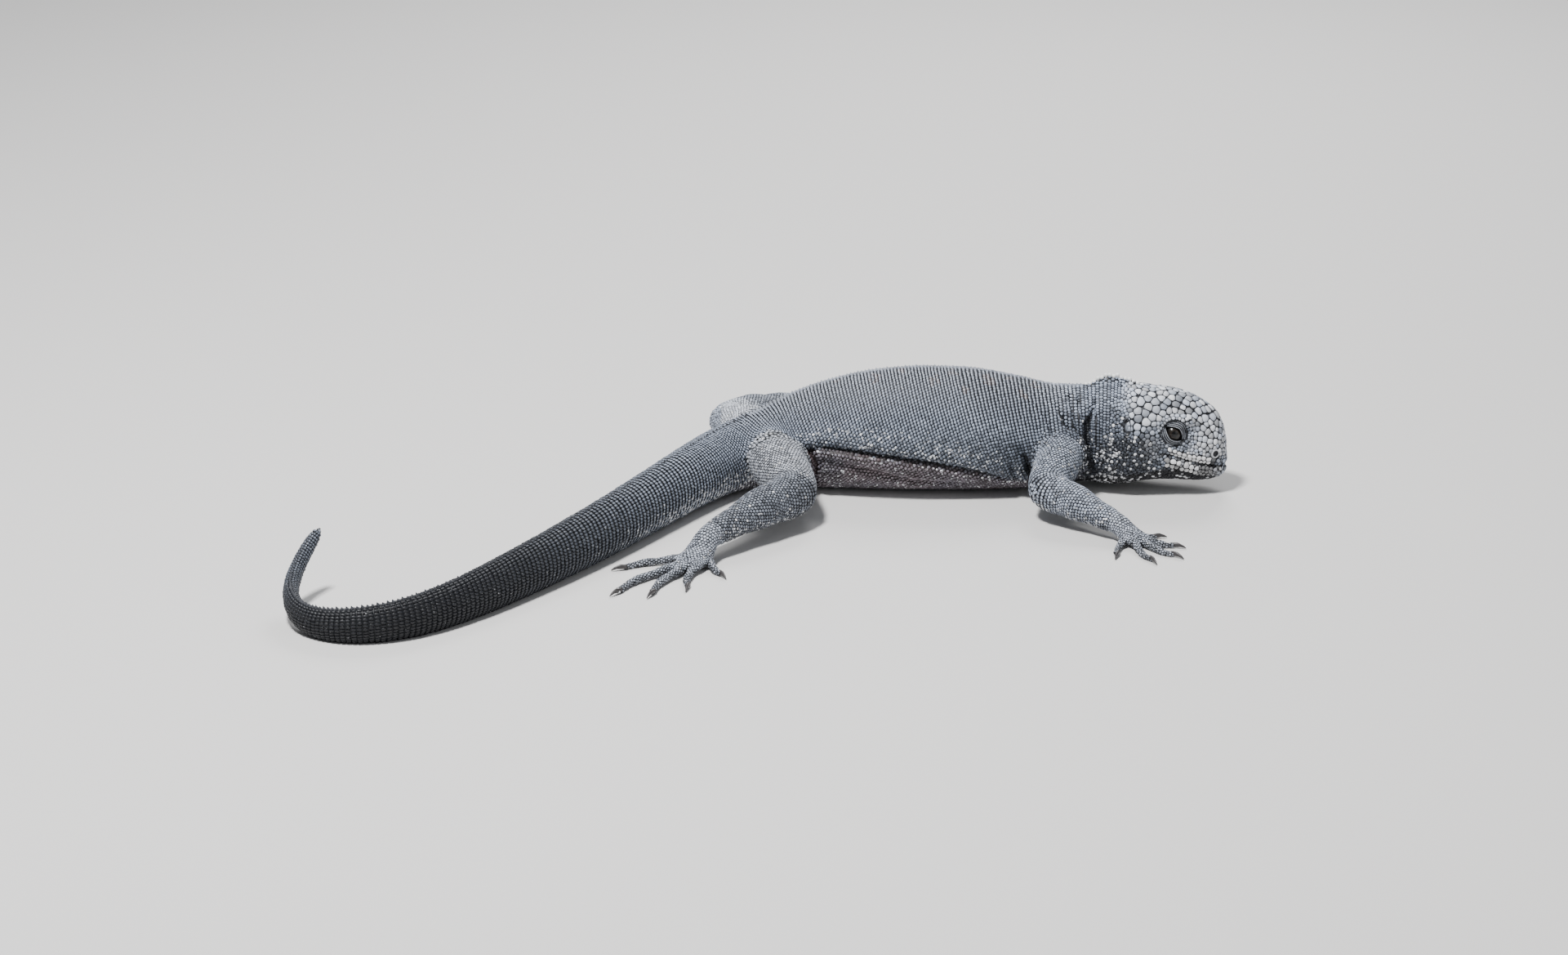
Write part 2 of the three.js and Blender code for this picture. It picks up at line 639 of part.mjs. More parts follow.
function limbNodes(limb) {
  const way = (from, to) => to.map((value, i) => value - from[i]);
  const { root, upper, bend, calf, lower, ankle } = limb;
  const boneIn = way(upper.at, bend.at);
  const boneOut = way(bend.at, calf.at);
  const length = (v) => Math.hypot(...v);
  const fold = boneIn.map((value, i) => value / length(boneIn) + boneOut[i] / length(boneOut));
  const ending = way(lower.at, ankle.at);
  const against = (v) => v.map((value) => -value);
  const shift = (point, direction, by) => point.map((value, i) => value + (direction[i] / length(direction)) * by);

  const joint = ball([bend.wide * 0.52, bend.wide * 0.52, bend.high * 0.5], bend.at, FACETS.joint);
  const past = { ...bend, at: shift(bend.at, boneIn, 2.5), wide: bend.wide * 0.8, high: bend.high * 0.8 };
  const before = { ...bend, at: shift(bend.at, boneOut, -2.5), wide: bend.wide * 0.8, high: bend.high * 0.8 };
  const beyond = { ...ankle, at: shift(ankle.at, ending, 2) };

  const first = tube([root, upper, bend, past], FACETS.bone)
    .add(joint)
    .intersect(halfSpace(shift(bend.at, fold, -CUT / 2), against(fold)))
    .subtract(BODY_ROOM);
  const second = tube([before, bend, calf, lower, ankle, beyond], FACETS.bone)
    .add(joint)
    .intersect(halfSpace(shift(bend.at, fold, CUT / 2), fold))
    .intersect(halfSpace(shift(ankle.at, ending, -CUT / 2), against(ending)));
  const soleEnd = onGround(ankle.at, limb.heading, limb.sole.length, 2.2);
  const soleMiddle = onGround(ankle.at, limb.heading, limb.sole.length * 0.5, 3.0);
  const soleStart = shift(ankle.at, ending, -3);
  const sole = tube(
    [
      { at: soleStart, wide: ankle.wide, high: ankle.high },
      { at: ankle.at, wide: ankle.wide, high: ankle.high },
      { at: soleMiddle, wide: limb.sole.wide * 0.82, high: limb.sole.high * 1.3 },
      { at: soleEnd, wide: limb.sole.wide * 0.9, high: limb.sole.high * 0.8 },
    ],
    FACETS.sole,
  );
  const third = joined([sole, ...limb.digits.map((plan) => digit(limb, plan))]).intersect(
    halfSpace(shift(ankle.at, ending, CUT / 2), ending),
  );
  return [first, second, third].map((piece) => largest(piece.subtract(BELOW_GROUND)));
}

// The finished model: every part is a mesh with its own name and material.
function meshOf(name, made, colour, roughness) {
  const { vertProperties, triVerts, numProp } = made.getMesh();
  const corners = new Float32Array((vertProperties.length / numProp) * 3);
  for (let i = 0; i < corners.length / 3; i++) {
    corners.set(vertProperties.subarray(i * numProp, i * numProp + 3), i * 3);
  }
  const geometry = new THREE.BufferGeometry();
  geometry.setAttribute("position", new THREE.BufferAttribute(corners, 3));
  geometry.setIndex(new THREE.BufferAttribute(triVerts, 1));
  geometry.computeVertexNormals();
  const mesh = new THREE.Mesh(geometry, new THREE.MeshStandardMaterial({ color: colour, roughness, metalness: 0 }));
  mesh.name = name;
  return mesh;
}

const COLOURS = { head: 0x8d9097, body: 0x6a6d76, tail: 0x3f434b, limb: 0x74777f, foot: 0x7c8089, eye: 0x14110f };
const iguana = new THREE.Group();
iguana.add(meshOf("head", headNode(), COLOURS.head, 0.7));
iguana.add(meshOf("eye_left", eyeNode(1), COLOURS.eye, 0.15));
iguana.add(meshOf("eye_right", eyeNode(-1), COLOURS.eye, 0.15));
iguana.add(meshOf("neck", bodyNode("neck"), COLOURS.body, 0.8));
iguana.add(meshOf("torso", bodyNode("torso"), COLOURS.body, 0.8));
iguana.add(meshOf("tail_base", bodyNode("tail_base"), COLOURS.tail, 0.8));
iguana.add(meshOf("tail_middle", bodyNode("tail_middle"), COLOURS.tail, 0.8));
iguana.add(meshOf("tail_end", bodyNode("tail_end"), COLOURS.tail, 0.8));
iguana.add(meshOf("tail_tip", bodyNode("tail_tip"), COLOURS.tail, 0.8));
for (const [place, limb] of Object.entries(LIMBS)) {
  const side = place.split("_")[1];
  limbNodes(limb).forEach((piece, i) => {
    const colour = i === 2 ? COLOURS.foot : COLOURS.limb;
    iguana.add(meshOf(`${limb.names[i]}_${side}`, piece, colour, 0.8));
  });
}

const footprint = new THREE.Box3().setFromObject(iguana);
const middle = footprint.getCenter(new THREE.Vector3());
iguana.position.set(-middle.x, -middle.y, 0);

export default iguana;
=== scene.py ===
"""A young marine iguana at rest: skin, scales, crest, lids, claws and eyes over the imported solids.

Shapes are worked out in millimetres in the solids' own build frame, in which the body's straight
part lies along X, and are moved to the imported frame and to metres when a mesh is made.
"""

from __future__ import annotations

import logging
import math
from dataclasses import dataclass, field
from enum import Enum

import bpy
import numpy as np
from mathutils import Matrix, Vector
from mathutils.bvhtree import BVHTree
from mathutils.kdtree import KDTree

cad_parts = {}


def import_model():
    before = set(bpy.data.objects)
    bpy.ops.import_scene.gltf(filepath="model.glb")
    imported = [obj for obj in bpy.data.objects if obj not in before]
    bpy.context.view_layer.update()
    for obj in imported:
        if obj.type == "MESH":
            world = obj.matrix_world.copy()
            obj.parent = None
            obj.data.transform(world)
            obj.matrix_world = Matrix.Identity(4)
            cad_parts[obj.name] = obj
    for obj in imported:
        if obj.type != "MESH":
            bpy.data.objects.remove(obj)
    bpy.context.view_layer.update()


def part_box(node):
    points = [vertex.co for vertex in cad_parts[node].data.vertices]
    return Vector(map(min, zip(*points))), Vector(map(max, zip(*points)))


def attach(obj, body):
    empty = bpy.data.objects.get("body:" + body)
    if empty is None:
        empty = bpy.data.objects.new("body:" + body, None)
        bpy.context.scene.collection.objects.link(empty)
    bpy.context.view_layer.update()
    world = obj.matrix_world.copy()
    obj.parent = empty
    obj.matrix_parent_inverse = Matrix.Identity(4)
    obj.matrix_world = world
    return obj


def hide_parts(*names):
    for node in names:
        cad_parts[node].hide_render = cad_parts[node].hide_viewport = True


LOG = logging.getLogger("iguana")
MM = 0.001
LENGTH = 418.0
SNOUT_X = 152.0
STRAIGHT_FROM = 62.0
HEAD_END = 36.0
NECK_END = 54.0
TAIL_FROM = 165.0
BROW_AT = 17.8
COAT_DEPTH = 0.35
DIGIT_DEPTH = 0.22
SKIN_VOXEL = 0.7
FLOOR_GAP = 0.02
SEED = 20
CANDIDATES = 190000
PIECE_FACES = 190000
BAKE_MAP = "OFBake"
SIDES = {"left": 1, "right": -1}

# Station, top, bottom, height of the widest place, half width, and squareness above and below it.
SECTIONS = np.array(
    [
        [0, 13.2, 8.4, 10.6, 1.0, 2.0, 2.0],
        [0.5, 18.0, 6.1, 11.2, 3.7, 2.1, 2.1],
        [1.6, 22.6, 5.2, 11.8, 5.6, 2.2, 2.2],
        [3.2, 26.6, 4.5, 12.2, 7.0, 2.2, 2.3],
        [5.5, 29.2, 4.0, 12.6, 8.4, 2.2, 2.4],
        [10, 32.2, 3.8, 13.4, 10.2, 2.2, 2.5],
        [15, 34.2, 4.0, 14.2, 11.6, 2.3, 2.5],
        [20, 35.4, 4.1, 14.8, 12.7, 2.3, 2.5],
        [27, 35.9, 3.6, 14.6, 14.2, 2.2, 2.5],
        [34, 37.0, 2.2, 14.2, 15.2, 2.0, 2.5],
        [41, 37.9, 1.5, 14.4, 14.2, 1.7, 2.4],
        [48, 35.6, 1.9, 15.2, 13.2, 1.75, 2.3],
        [58, 35.8, 0.5, 16.0, 16.2, 1.7, 2.2],
        [72, 38.8, -0.4, 16.4, 19.2, 1.65, 2.2],
        [90, 41.8, -0.5, 16.4, 20.8, 1.65, 2.2],
        [104, 42.2, -0.5, 16.2, 20.8, 1.65, 2.2],
        [120, 41.0, -0.5, 16.0, 19.6, 1.65, 2.2],
        [136, 37.4, -0.4, 15.4, 17.2, 1.7, 2.2],
        [150, 32.2, -0.1, 14.4, 14.6, 1.8, 2.2],
        [160, 27.4, 0.2, 13.0, 12.4, 1.9, 2.2],
        [172, 24.2, 0.1, 12.0, 10.6, 1.95, 2.1],
        [190, 22.0, -0.2, 10.9, 9.2, 2.0, 2.1],
        [220, 20.0, -0.4, 9.8, 8.0, 2.0, 2.1],
        [260, 18.0, -0.4, 8.7, 6.9, 2.0, 2.1],
        [300, 15.6, -0.4, 7.4, 5.5, 2.0, 2.1],
        [340, 12.4, -0.4, 6.0, 4.1, 2.0, 2.1],
        [375, 9.0, -0.3, 4.5, 2.9, 2.0, 2.1],
        [398, 6.9, 0.2, 3.5, 2.2, 2.0, 2.1],
        [412, 5.6, 0.6, 3.1, 1.7, 2.0, 2.0],
        [416, 4.4, 1.4, 2.9, 1.1, 2.0, 2.0],
        [LENGTH, 3.2, 2.6, 2.8, 0.3, 2.0, 2.0],
    ]
)
# The tables from here to TAIL_PITCHES have stations first, then what holds there.
BEARINGS = np.array(
    [[0, -8], [34, -7], [52, -2], [62, 0], [146, 0], [162, 23], [179, 48], [196, 58], [226, 59]]
    + [[262, 56], [300, 52], [326, 42], [346, 16], [362, -20], [378, -62], [392, -94], [408, -120]]
    + [[LENGTH, -130]],
    dtype=float,
)
LIFTS = np.array([[0, 0], [358, 0], [378, 12], [396, 26], [LENGTH, 40]], dtype=float)
CREST_HEIGHTS = np.array(
    [[29, 0.9], [33, 2.0], [38, 2.6], [45, 2.0], [49, 1.1], [60, 0.9], [110, 1.1], [165, 1.0]]
    + [[230, 1.1], [330, 1.3], [390, 1.1], [LENGTH, 0.6]]
)
TAIL_DARKNESS = np.array(
    [[0, 0.1], [150, 0.08], [175, 0.06], [208, 0.24], [250, 0.7], [300, 0.96], [340, 1.0], [376, 0.98]]
    + [[390, 0.82], [402, 0.62], [LENGTH, 0.5]]
)
FLANK_LINE = np.array(
    [[45, 0.3], [66, 0.34], [77, 0.326], [88, 0.294], [102, 0.266], [116, 0.248], [130, 0.228], [141, 0.216]]
    + [[152, 0.27], [190, 0.36], [LENGTH, 0.4]]
)
TAIL_PITCHES = np.array([[160, 1.6], [230, 1.9], [330, 1.75], [LENGTH, 1.1]])
# Station, turn and reach of each tan spot.
TAN_SPOTS = ((66, 0.03, 2.6), (75, 0.02, 1.6), (82, 0.05, 2.2), (94, 0.035, 1.8), (101, 0.06, 2.4))
TAN_SPOTS += ((112, 0.02, 1.7), (121, 0.045, 2.0), (133, 0.03, 1.4), (70, 0.08, 1.6), (90, 0.09, 1.4))
MOUTH_LINE = np.array([[-2, 8.9], [0.5, 9.3], [4.5, 10.7], [10, 12.1], [15, 13.7], [20, 15.3], [24, 16.0]])


class Region(Enum):
    """Part of the body that a scale grows on."""

    HEAD = 0
    TRUNK = 1
    TAIL = 2
    LIMB = 3
    FOOT = 4


@dataclass(frozen=True)
class Knot:
    """A point of a limb's centre line with the limb's width and height there."""

    at: tuple[float, float, float]
    wide: float
    high: float


@dataclass(frozen=True)
class Digit:
    """A toe or finger: its turn from the foot's heading, its root on the sole and its size."""

    turn: float
    root: float
    length: float
    thick: float


@dataclass(frozen=True)
class Limb:
    """A leg from its root in the body to its foot."""

    side: int
    root: Knot
    upper: Knot
    bend: Knot
    calf: Knot
    lower: Knot
    ankle: Knot
    heading: float
    sole: tuple[float, float, float]
    digits: tuple[Digit, ...]


@dataclass(frozen=True)
class Eye:
    """Place and size of an eye, its socket in the skin and the bare skin round it."""

    at: float = 18.1
    height: float = 22.6
    out: float = 9.2
    radius: float = 3.3
    socket: float = 4.2
    slope: float = 1.6
    depth: float = 2.6
    reach: float = 9.0
    bare: float = 4.95


@dataclass(frozen=True)
class Lids:
    """Shape of the lids: half sizes of the almond, its tilt, and the beaded folds round it."""

    long: float = 3.4
    short: float = 2.05
    pointed: float = 1.45
    tilt: float = 40.0
    reach: float = 5.3
    folds: int = 5
    rows: int = 70
    sides: int = 168
    blend: float = 2.2
    thick: float = 0.42
    beaded: float = 0.42


@dataclass(frozen=True)
class Nostril:
    """Place of a nostril, its hollow in the skin and the bare skin round it."""

    at: float = 3.6
    height: float = 15.1
    wide: float = 1.0
    tall: float = 1.0
    socket: float = 1.1
    slope: float = 0.6
    depth: float = 0.9
    bare: float = 1.9


@dataclass(frozen=True)
class Ear:
    """Place and half sizes of the sunken ear drum, with its hollow and bare skin as shares of them."""

    at: float = 33.8
    height: float = 25.3
    wide: float = 1.15
    tall: float = 2.5
    socket: float = 1.15
    slope: float = 0.45
    depth: float = 1.3
    reach: float = 5.0
    bare: float = 1.16


@dataclass(frozen=True)
class HeadPatch:
    """An area of the head whose scales have a size of their own."""

    at: float
    height: float
    out: float
    reach: float
    size: float


@dataclass(frozen=True)
class LipRow:
    """A row of scales along the mouth: how far over the line it runs, where, and its scales' size."""

    offset: float
    start: float
    end: float
    size: float


@dataclass(frozen=True)
class Fold:
    """A crease in the skin: points by distance from the snout and turn, with depth and width."""

    points: tuple[tuple[float, float], ...]
    depth: float
    width: float


HIND_DIGITS = (
    Digit(58, 7, 10.5, 2.7),
    Digit(24, 11, 17, 2.8),
    Digit(6, 12.5, 25, 2.9),
    Digit(-10, 12, 31, 2.9),
    Digit(-40, 7.5, 23, 2.7),
)
FORE_DIGITS = (
    Digit(58, 5.5, 7.5, 2.4),
    Digit(26, 8, 12, 2.5),
    Digit(2, 8.5, 15.5, 2.6),
    Digit(-24, 8, 15, 2.6),
    Digit(-60, 6, 10.5, 2.4),
)
LIMBS = {
    "hind_right": Limb(
        -1,
        Knot((-4, -2, 14.5), 24, 21),
        Knot((-2, -20, 14), 20, 18),
        Knot((3, -41, 11.4), 15.5, 15.5),
        Knot((-7, -53, 10.6), 14.4, 13.4),
        Knot((-17, -64, 9), 10.6, 9.6),
        Knot((-24.5, -72.5, 7.4), 8.6, 7.8),
        -123,
        (14, 13.5, 4.6),
        HIND_DIGITS,
    ),
    "hind_left": Limb(
        1,
        Knot((-4, 2, 14.5), 23, 20),
        Knot((-11, 17, 13.5), 18, 16.5),
        Knot((-19, 32, 11.2), 14.4, 13.4),
        Knot((-12, 46, 9.8), 13.6, 12.8),
        Knot((-5, 57, 8), 10.2, 9.4),
        Knot((1, 66, 6.4), 8.4, 7.8),
        40,
        (14, 13.5, 4.6),
        HIND_DIGITS,
    ),
    "fore_right": Limb(
        -1,
        Knot((95, -3, 16), 18, 18),
        Knot((93, -21, 14.8), 15.5, 15.5),
        Knot((89, -36, 10.6), 13.6, 13.6),
        Knot((96.5, -43, 9), 12.8, 12),
        Knot((105, -50, 6.8), 9.4, 8.6),
        Knot((111, -55, 5.2), 7.6, 6.8),
        -46,
        (9.5, 11, 4.2),
        FORE_DIGITS,
    ),
    "fore_left": Limb(
        1,
        Knot((95, 3, 16), 18, 18),
        Knot((90, 21, 14), 14.5, 14.5),
        Knot((86, 36, 9.6), 12.4, 12.4),
        Knot((93.5, 42.5, 8.2), 11.6, 10.8),
        Knot((101, 49, 6.4), 8.8, 8),
        Knot((107, 54.5, 5), 7.4, 6.8),
        24,
        (9.5, 11, 4.2),
        FORE_DIGITS,
    ),
}
CLAW_LENGTH = 3.6
CLAW_THICK = 1.35
GROUND_SINK = 0.35
EYE = Eye()
LIDS = Lids()
NOSTRIL = Nostril()
EAR = Ear()
# Reach, lift, dark share, pale share and height share of each ring, from the rim inwards. The high dark
# shares are painted shade inside the ear's recess and the nostril's opening, and the height share sets each
# ring's painted seam shade.
EAR_RINGS = ((1.4, -0.5, 0.8, 0.1, 0.1), (1.25, 0.0, 0.8, 0.1, 0.5), (1.1, 0.08, 0.85, 0.1, 0.5))
EAR_RINGS += ((1.0, -0.15, 1.0, 0.1, 0.1), (0.92, -0.7, 1.0, 0.1, 0.0), (0.7, -0.7, 0.85, 0.1, 0.5))
EAR_RINGS += ((0.4, -0.5, 0.5, 0.1, 0.8), (0.1, -0.42, 0.4, 0.1, 0.85), (0.0, -0.42, 0.4, 0.1, 0.85))
NOSTRIL_RINGS = ((1.9, -0.5, 0.3, 0.525, 0.1), (1.7, 0.15, 0.1, 0.675, 0.7), (1.4, 0.5, 0.0, 0.75, 1.0))
NOSTRIL_RINGS += ((1.15, 0.55, 0.1, 0.675, 0.9), (0.92, 0.35, 0.7, 0.225, 0.3), (0.8, -0.1, 1.0, 0.0, 0.05))
NOSTRIL_RINGS += ((0.7, -0.7, 1.0, 0.0, 0.0), (0.0, -0.7, 1.0, 0.0, 0.0))
HEAD_PATCHES = (
    HeadPatch(18.0, 23.5, 11.5, 7.4, 0.8),
    HeadPatch(27.5, 30.8, 10.5, 6.0, 2.9),
    HeadPatch(31.0, 25.6, 13.5, 2.9, 2.3),
    HeadPatch(4.0, 15.0, 7.0, 3.6, 1.2),
    HeadPatch(36.0, 19.0, 14.5, 6.5, 0.85),
    HeadPatch(24.0, 17.5, 14.0, 3.6, 1.0),
)
LIP_ROWS = (
    LipRow(1.0, 0.6, 23, 1.25),
    LipRow(2.3, 1.0, 21, 1.6),
    LipRow(-1.15, 0.6, 9, 1.35),
    LipRow(-1.45, 9.5, 21, 2.1),
    LipRow(-2.6, 1.0, 9, 1.3),
    LipRow(-3.4, 10.0, 20, 1.6),
)
FOLDS = (
    Fold(((47.2, 0.127), (48.2, 0.162), (47.8, 0.208), (46.8, 0.26), (45.5, 0.335)), 1.9, 1.3),
    Fold(((54.5, 0.075), (52.5, 0.14), (50.8, 0.198), (46.8, 0.245)), 0.95, 0.8),
    Fold(((59, 0.11), (57.2, 0.137), (53.8, 0.185), (48.2, 0.228)), 0.85, 0.8),
    Fold(((51, 0.045), (50.8, 0.114), (49.5, 0.162)), 0.6, 0.7),
    Fold(((44.8, 0.06), (46.0, 0.12), (47.3, 0.18)), 0.5, 0.7),
    Fold(((63, 0.135), (60, 0.19), (54, 0.225), (49, 0.26)), 0.7, 0.9),
    Fold(((66, 0.17), (63, 0.22), (57, 0.25), (51, 0.28)), 0.6, 0.9),
    Fold(((42, 0.1), (42.6, 0.16), (42.4, 0.22)), 0.35, 0.7),
    Fold(
        ((147, 0.25), (141, 0.216), (130, 0.228), (116, 0.248), (102, 0.266), (88, 0.294), (77, 0.326)),
        1.3,
        1.1,
    ),
    Fold(((141, 0.252), (124, 0.29), (107, 0.342), (91, 0.354)), 0.55, 1.2),
    Fold(((147, 0.196), (143, 0.228), (140.8, 0.278), (141.5, 0.362)), 1.2, 1.0),
    Fold(((151.8, 0.204), (148, 0.25), (145, 0.316)), 0.9, 0.9),
    Fold(((156, 0.22), (152, 0.27), (149, 0.32)), 0.6, 0.8),
    Fold(((71, 0.23), (69, 0.27), (67.8, 0.32), (68, 0.37)), 1.1, 1.1),
    Fold(((76, 0.26), (74, 0.3), (73, 0.34)), 0.6, 0.9),
    Fold(((23.4, 0.155), (24.6, 0.148), (26.0, 0.143)), 0.4, 0.45),
    Fold(((13.6, 0.213), (12.6, 0.222), (11.4, 0.232)), 0.35, 0.45),
    Fold(((24.5, 0.2), (21, 0.222), (16.5, 0.232), (12, 0.236)), 0.3, 0.5),
    Fold(((27, 0.215), (23, 0.235), (18, 0.243)), 0.25, 0.5),
)


def between(table: np.ndarray, column: int, at) -> np.ndarray:
    """Interpolate a column smoothly between stations, with no overshoot.

    Args:
        table: rows whose first value is the station.
        column: the column to read.
        at: one or more stations.

    Returns:
        The values at those stations.
    """
    at = np.clip(np.asarray(at, dtype=float), table[0, 0], table[-1, 0])
    x = table[:, 0]
    y = table[:, column]
    rise = np.diff(y) / np.diff(x)
    slope = np.zeros(len(x))
    before, after = rise[:-1], rise[1:]
    total = before + after
    same = before * after > 0
    slope[1:-1] = np.where(same, 2 * before * after / np.where(same, total, 1), 0)
    i = np.clip(np.searchsorted(x, at, side="right") - 1, 0, len(x) - 2)
    span = x[i + 1] - x[i]
    u = (at - x[i]) / span
    ease = u * u * (3 - 2 * u)
    bend = span * (slope[i] * (u**3 - 2 * u**2 + u) + slope[i + 1] * (u**3 - u**2))
    return y[i] * (1 - ease) + y[i + 1] * ease + bend


def unit(vectors: np.ndarray) -> np.ndarray:
    """Scale vectors to unit length.

    Args:
        vectors: an array whose last axis is x, y, z.

    Returns:
        The unit vectors.
    """
    return vectors / np.maximum(np.linalg.norm(vectors, axis=-1, keepdims=True), 1e-9)


def ramp(low: float, high: float, value):
    """Rise smoothly from 0 to 1.

    Args:
        low: where the rise starts.
        high: where it ends.
        value: what is tested.

    Returns:
        The share.
    """
    share = np.clip((value - low) / (high - low), 0, 1)
    return share * share * (3 - 2 * share)


def circle(sides: int) -> np.ndarray:
    """Divide a full turn.

    Args:
        sides: the number of parts.

    Returns:
        Angles in radians.
    """
    return np.arange(sides) / sides * 2 * np.pi


def read(source, key: str, width: int = 1, kind: type = float) -> np.ndarray:
    """Read a property of all of a mesh's vertices, edges, corners or faces.

    Args:
        source: the mesh's collection.
        key: the property.
        width: values for each.
        kind: type of the values.

    Returns:
        One row for each, or a flat array for single values.
    """
    flat = np.empty(len(source) * width, dtype=kind)
    source.foreach_get(key, flat)
    return flat.reshape(-1, width) if width > 1 else flat


def mark(mesh: bpy.types.Mesh, **values: np.ndarray) -> None:
    """Store what the materials read at every vertex.

    Args:
        mesh: the mesh.
        values: the values of each attribute, with four columns for tones.
    """
    for name, value in values.items():
        if name == "tones":
            layer = mesh.color_attributes.new(name, "FLOAT_COLOR", "POINT")
            layer.data.foreach_set("color", value.ravel())
        else:
            mesh.attributes.new(name, "FLOAT", "POINT").data.foreach_set("value", value.ravel())


def ring_quads(rings: int, sides: int) -> np.ndarray:
    """Number the faces between rings of points.

    Args:
        rings: the number of rings.
        sides: points round each.

    Returns:
        Four point numbers for each face.
    """
    low = np.stack([np.arange(sides), np.roll(np.arange(sides), -1)], axis=1)
    strip = np.concatenate([low, low[:, ::-1] + sides], axis=1)
    return np.concatenate([strip + ring * sides for ring in range(rings - 1)])


def link(name: str, data) -> bpy.types.Object:
    """Make an object and link it to the scene.

    Args:
        name: its name.
        data: its mesh, light or camera.

    Returns:
        The object.
    """
    made = bpy.data.objects.new(name, data)
    bpy.context.scene.collection.objects.link(made)
    return made


def tree_of(points: np.ndarray) -> KDTree:
    """Sort points so that the nearest can be found.

    Args:
        points: the points.

    Returns:
        The tree.
    """
    tree = KDTree(len(points))
    for i, point in enumerate(points):
        tree.insert(Vector(point), i)
    tree.balance()
    return tree


class BodyLine:
    """The curved line of the body, from the snout to the tail's tip."""

    STEP = 0.5

    def __init__(self) -> None:
        """Walk the line both ways from its straight part."""
        self.count = int(LENGTH / self.STEP) + 1
        self.origins = np.zeros((self.count, 3))
        start = int(STRAIGHT_FROM / self.STEP)
        for way in (1, -1):
            point = np.array([SNOUT_X - STRAIGHT_FROM, 0.0, 0.0])
            i = start
            while 0 <= i < self.count:
                self.origins[i] = point
                point = point + self.direction(i * self.STEP + way * self.STEP / 2) * way * self.STEP
                i += way

    @staticmethod
    def direction(at) -> np.ndarray:
        """Give the direction towards the tail.

        Args:
            at: distances from the snout.

        Returns:
            Unit vectors.
        """
        turn = np.radians(between(BEARINGS, 1, at))
        lift = np.radians(between(LIFTS, 1, at))
        parts = [-np.cos(turn) * np.cos(lift), -np.sin(turn) * np.cos(lift), np.sin(lift)]
        return np.stack(parts, axis=-1)

    def frames(self, at) -> tuple[np.ndarray, np.ndarray, np.ndarray, np.ndarray]:
        """Give section frames.

        Args:
            at: distances from the snout.

        Returns:
            Origins and the back, left and up directions.
        """
        at = np.asarray(at, dtype=float)
        place = np.clip(at / self.STEP, 0, self.count - 1.000001)
        low = place.astype(int)
        share = (place - low)[..., None]
        origin = self.origins[low] * (1 - share) + self.origins[low + 1] * share
        back = self.direction(at)
        left = unit(-np.cross(np.broadcast_to([0.0, 0.0, 1.0], back.shape), back))
        return origin, back, left, np.cross(left, back)

    def points(self, at, turn, grow: float = 0.0, share=1.0) -> np.ndarray:
        """Give points on the body's sections.

        Args:
            at: distances from the snout.
            turn: 0 on the back, a quarter on the left side, a half under the belly.
            grow: how far out from the section the points lie.
            share: 1 on the section and 0 at its middle.

        Returns:
            The points.
        """
        at, turn = np.broadcast_arrays(np.asarray(at, float), np.asarray(turn, float))
        origin, _, left, up = self.frames(at)
        top, bottom, widest, half, upper, lower = (between(SECTIONS, c, at) for c in range(1, 7))
        angle = turn * 2 * np.pi
        sin, cos = np.sin(angle), np.cos(angle)
        square = np.where(cos >= 0, upper, lower)
        height = np.where(cos >= 0, top - widest, widest - bottom)
        across = np.sign(sin) * np.abs(sin) ** (2 / square)
        along = np.sign(cos) * np.abs(cos) ** (2 / square)
        share = np.asarray(share, float)
        out = (across * (half + grow) * share)[..., None]
        rise = (widest + along * (height + grow) * share)[..., None]
        return origin + left * out + up * rise

    def head_point(self, at: float, height: float, out: float) -> np.ndarray:
        """Give a point in the head.

        Args:
            at: distance from the snout.
            height: height over the ground.
            out: distance to the left of the midline.

        Returns:
            The point.
        """
        origin, _, left, up = self.frames(max(0.0, at))
        return origin + left * out + up * height

    def turn_at(self, at: float, height: float, side: int) -> float:
        """Find where round a section a height lies.

        Args:
            at: distance from the snout.
            height: height over the ground.
            side: 1 for the left, -1 for the right.

        Returns:
            The turn.
        """
        top, bottom, widest, _, upper, lower = (float(between(SECTIONS, c, at)) for c in range(1, 7))
        above = height >= widest
        square = upper if above else lower
        share = abs(height - widest) / ((top - widest) if above else (widest - bottom))
        cos = min(0.999, share) ** (square / 2)
        angle = math.acos(cos if above else -cos) / (2 * math.pi)
        return angle if side > 0 else 1 - angle

    def surface(self, at: float, turn: float) -> tuple[np.ndarray, np.ndarray, np.ndarray]:
        """Give a surface point with its directions.

        Args:
            at: distance from the snout.
            turn: place round the section.

        Returns:
            The point, the outward direction and the direction towards the tail.
        """
        point = self.points(at, turn)
        onward = self.points(at + 0.4, turn) - self.points(max(0.0, at - 0.4), turn)
        around = self.points(at, turn + 0.008) - self.points(at, turn - 0.008)
        out = unit(np.cross(around, onward))
        if out @ (point - self.points(at, turn, 0.0, 0.2)) < 0:
            out = -out
        return point, out, unit(onward)

    def feature(self, spot, side: int) -> tuple[np.ndarray, np.ndarray, np.ndarray, np.ndarray]:
        """Give the place and directions of an eye, ear or nostril.

        Args:
            spot: the eye, ear or nostril.
            side: 1 for the left, -1 for the right.

        Returns:
            The place, outwards, towards the tail and across.
        """
        point, out, along = self.surface(spot.at, self.turn_at(spot.at, spot.height, side))
        if isinstance(spot, Eye):
            point = self.head_point(spot.at, spot.height, side * spot.out)
        return point, out, along, unit(np.cross(out, along))

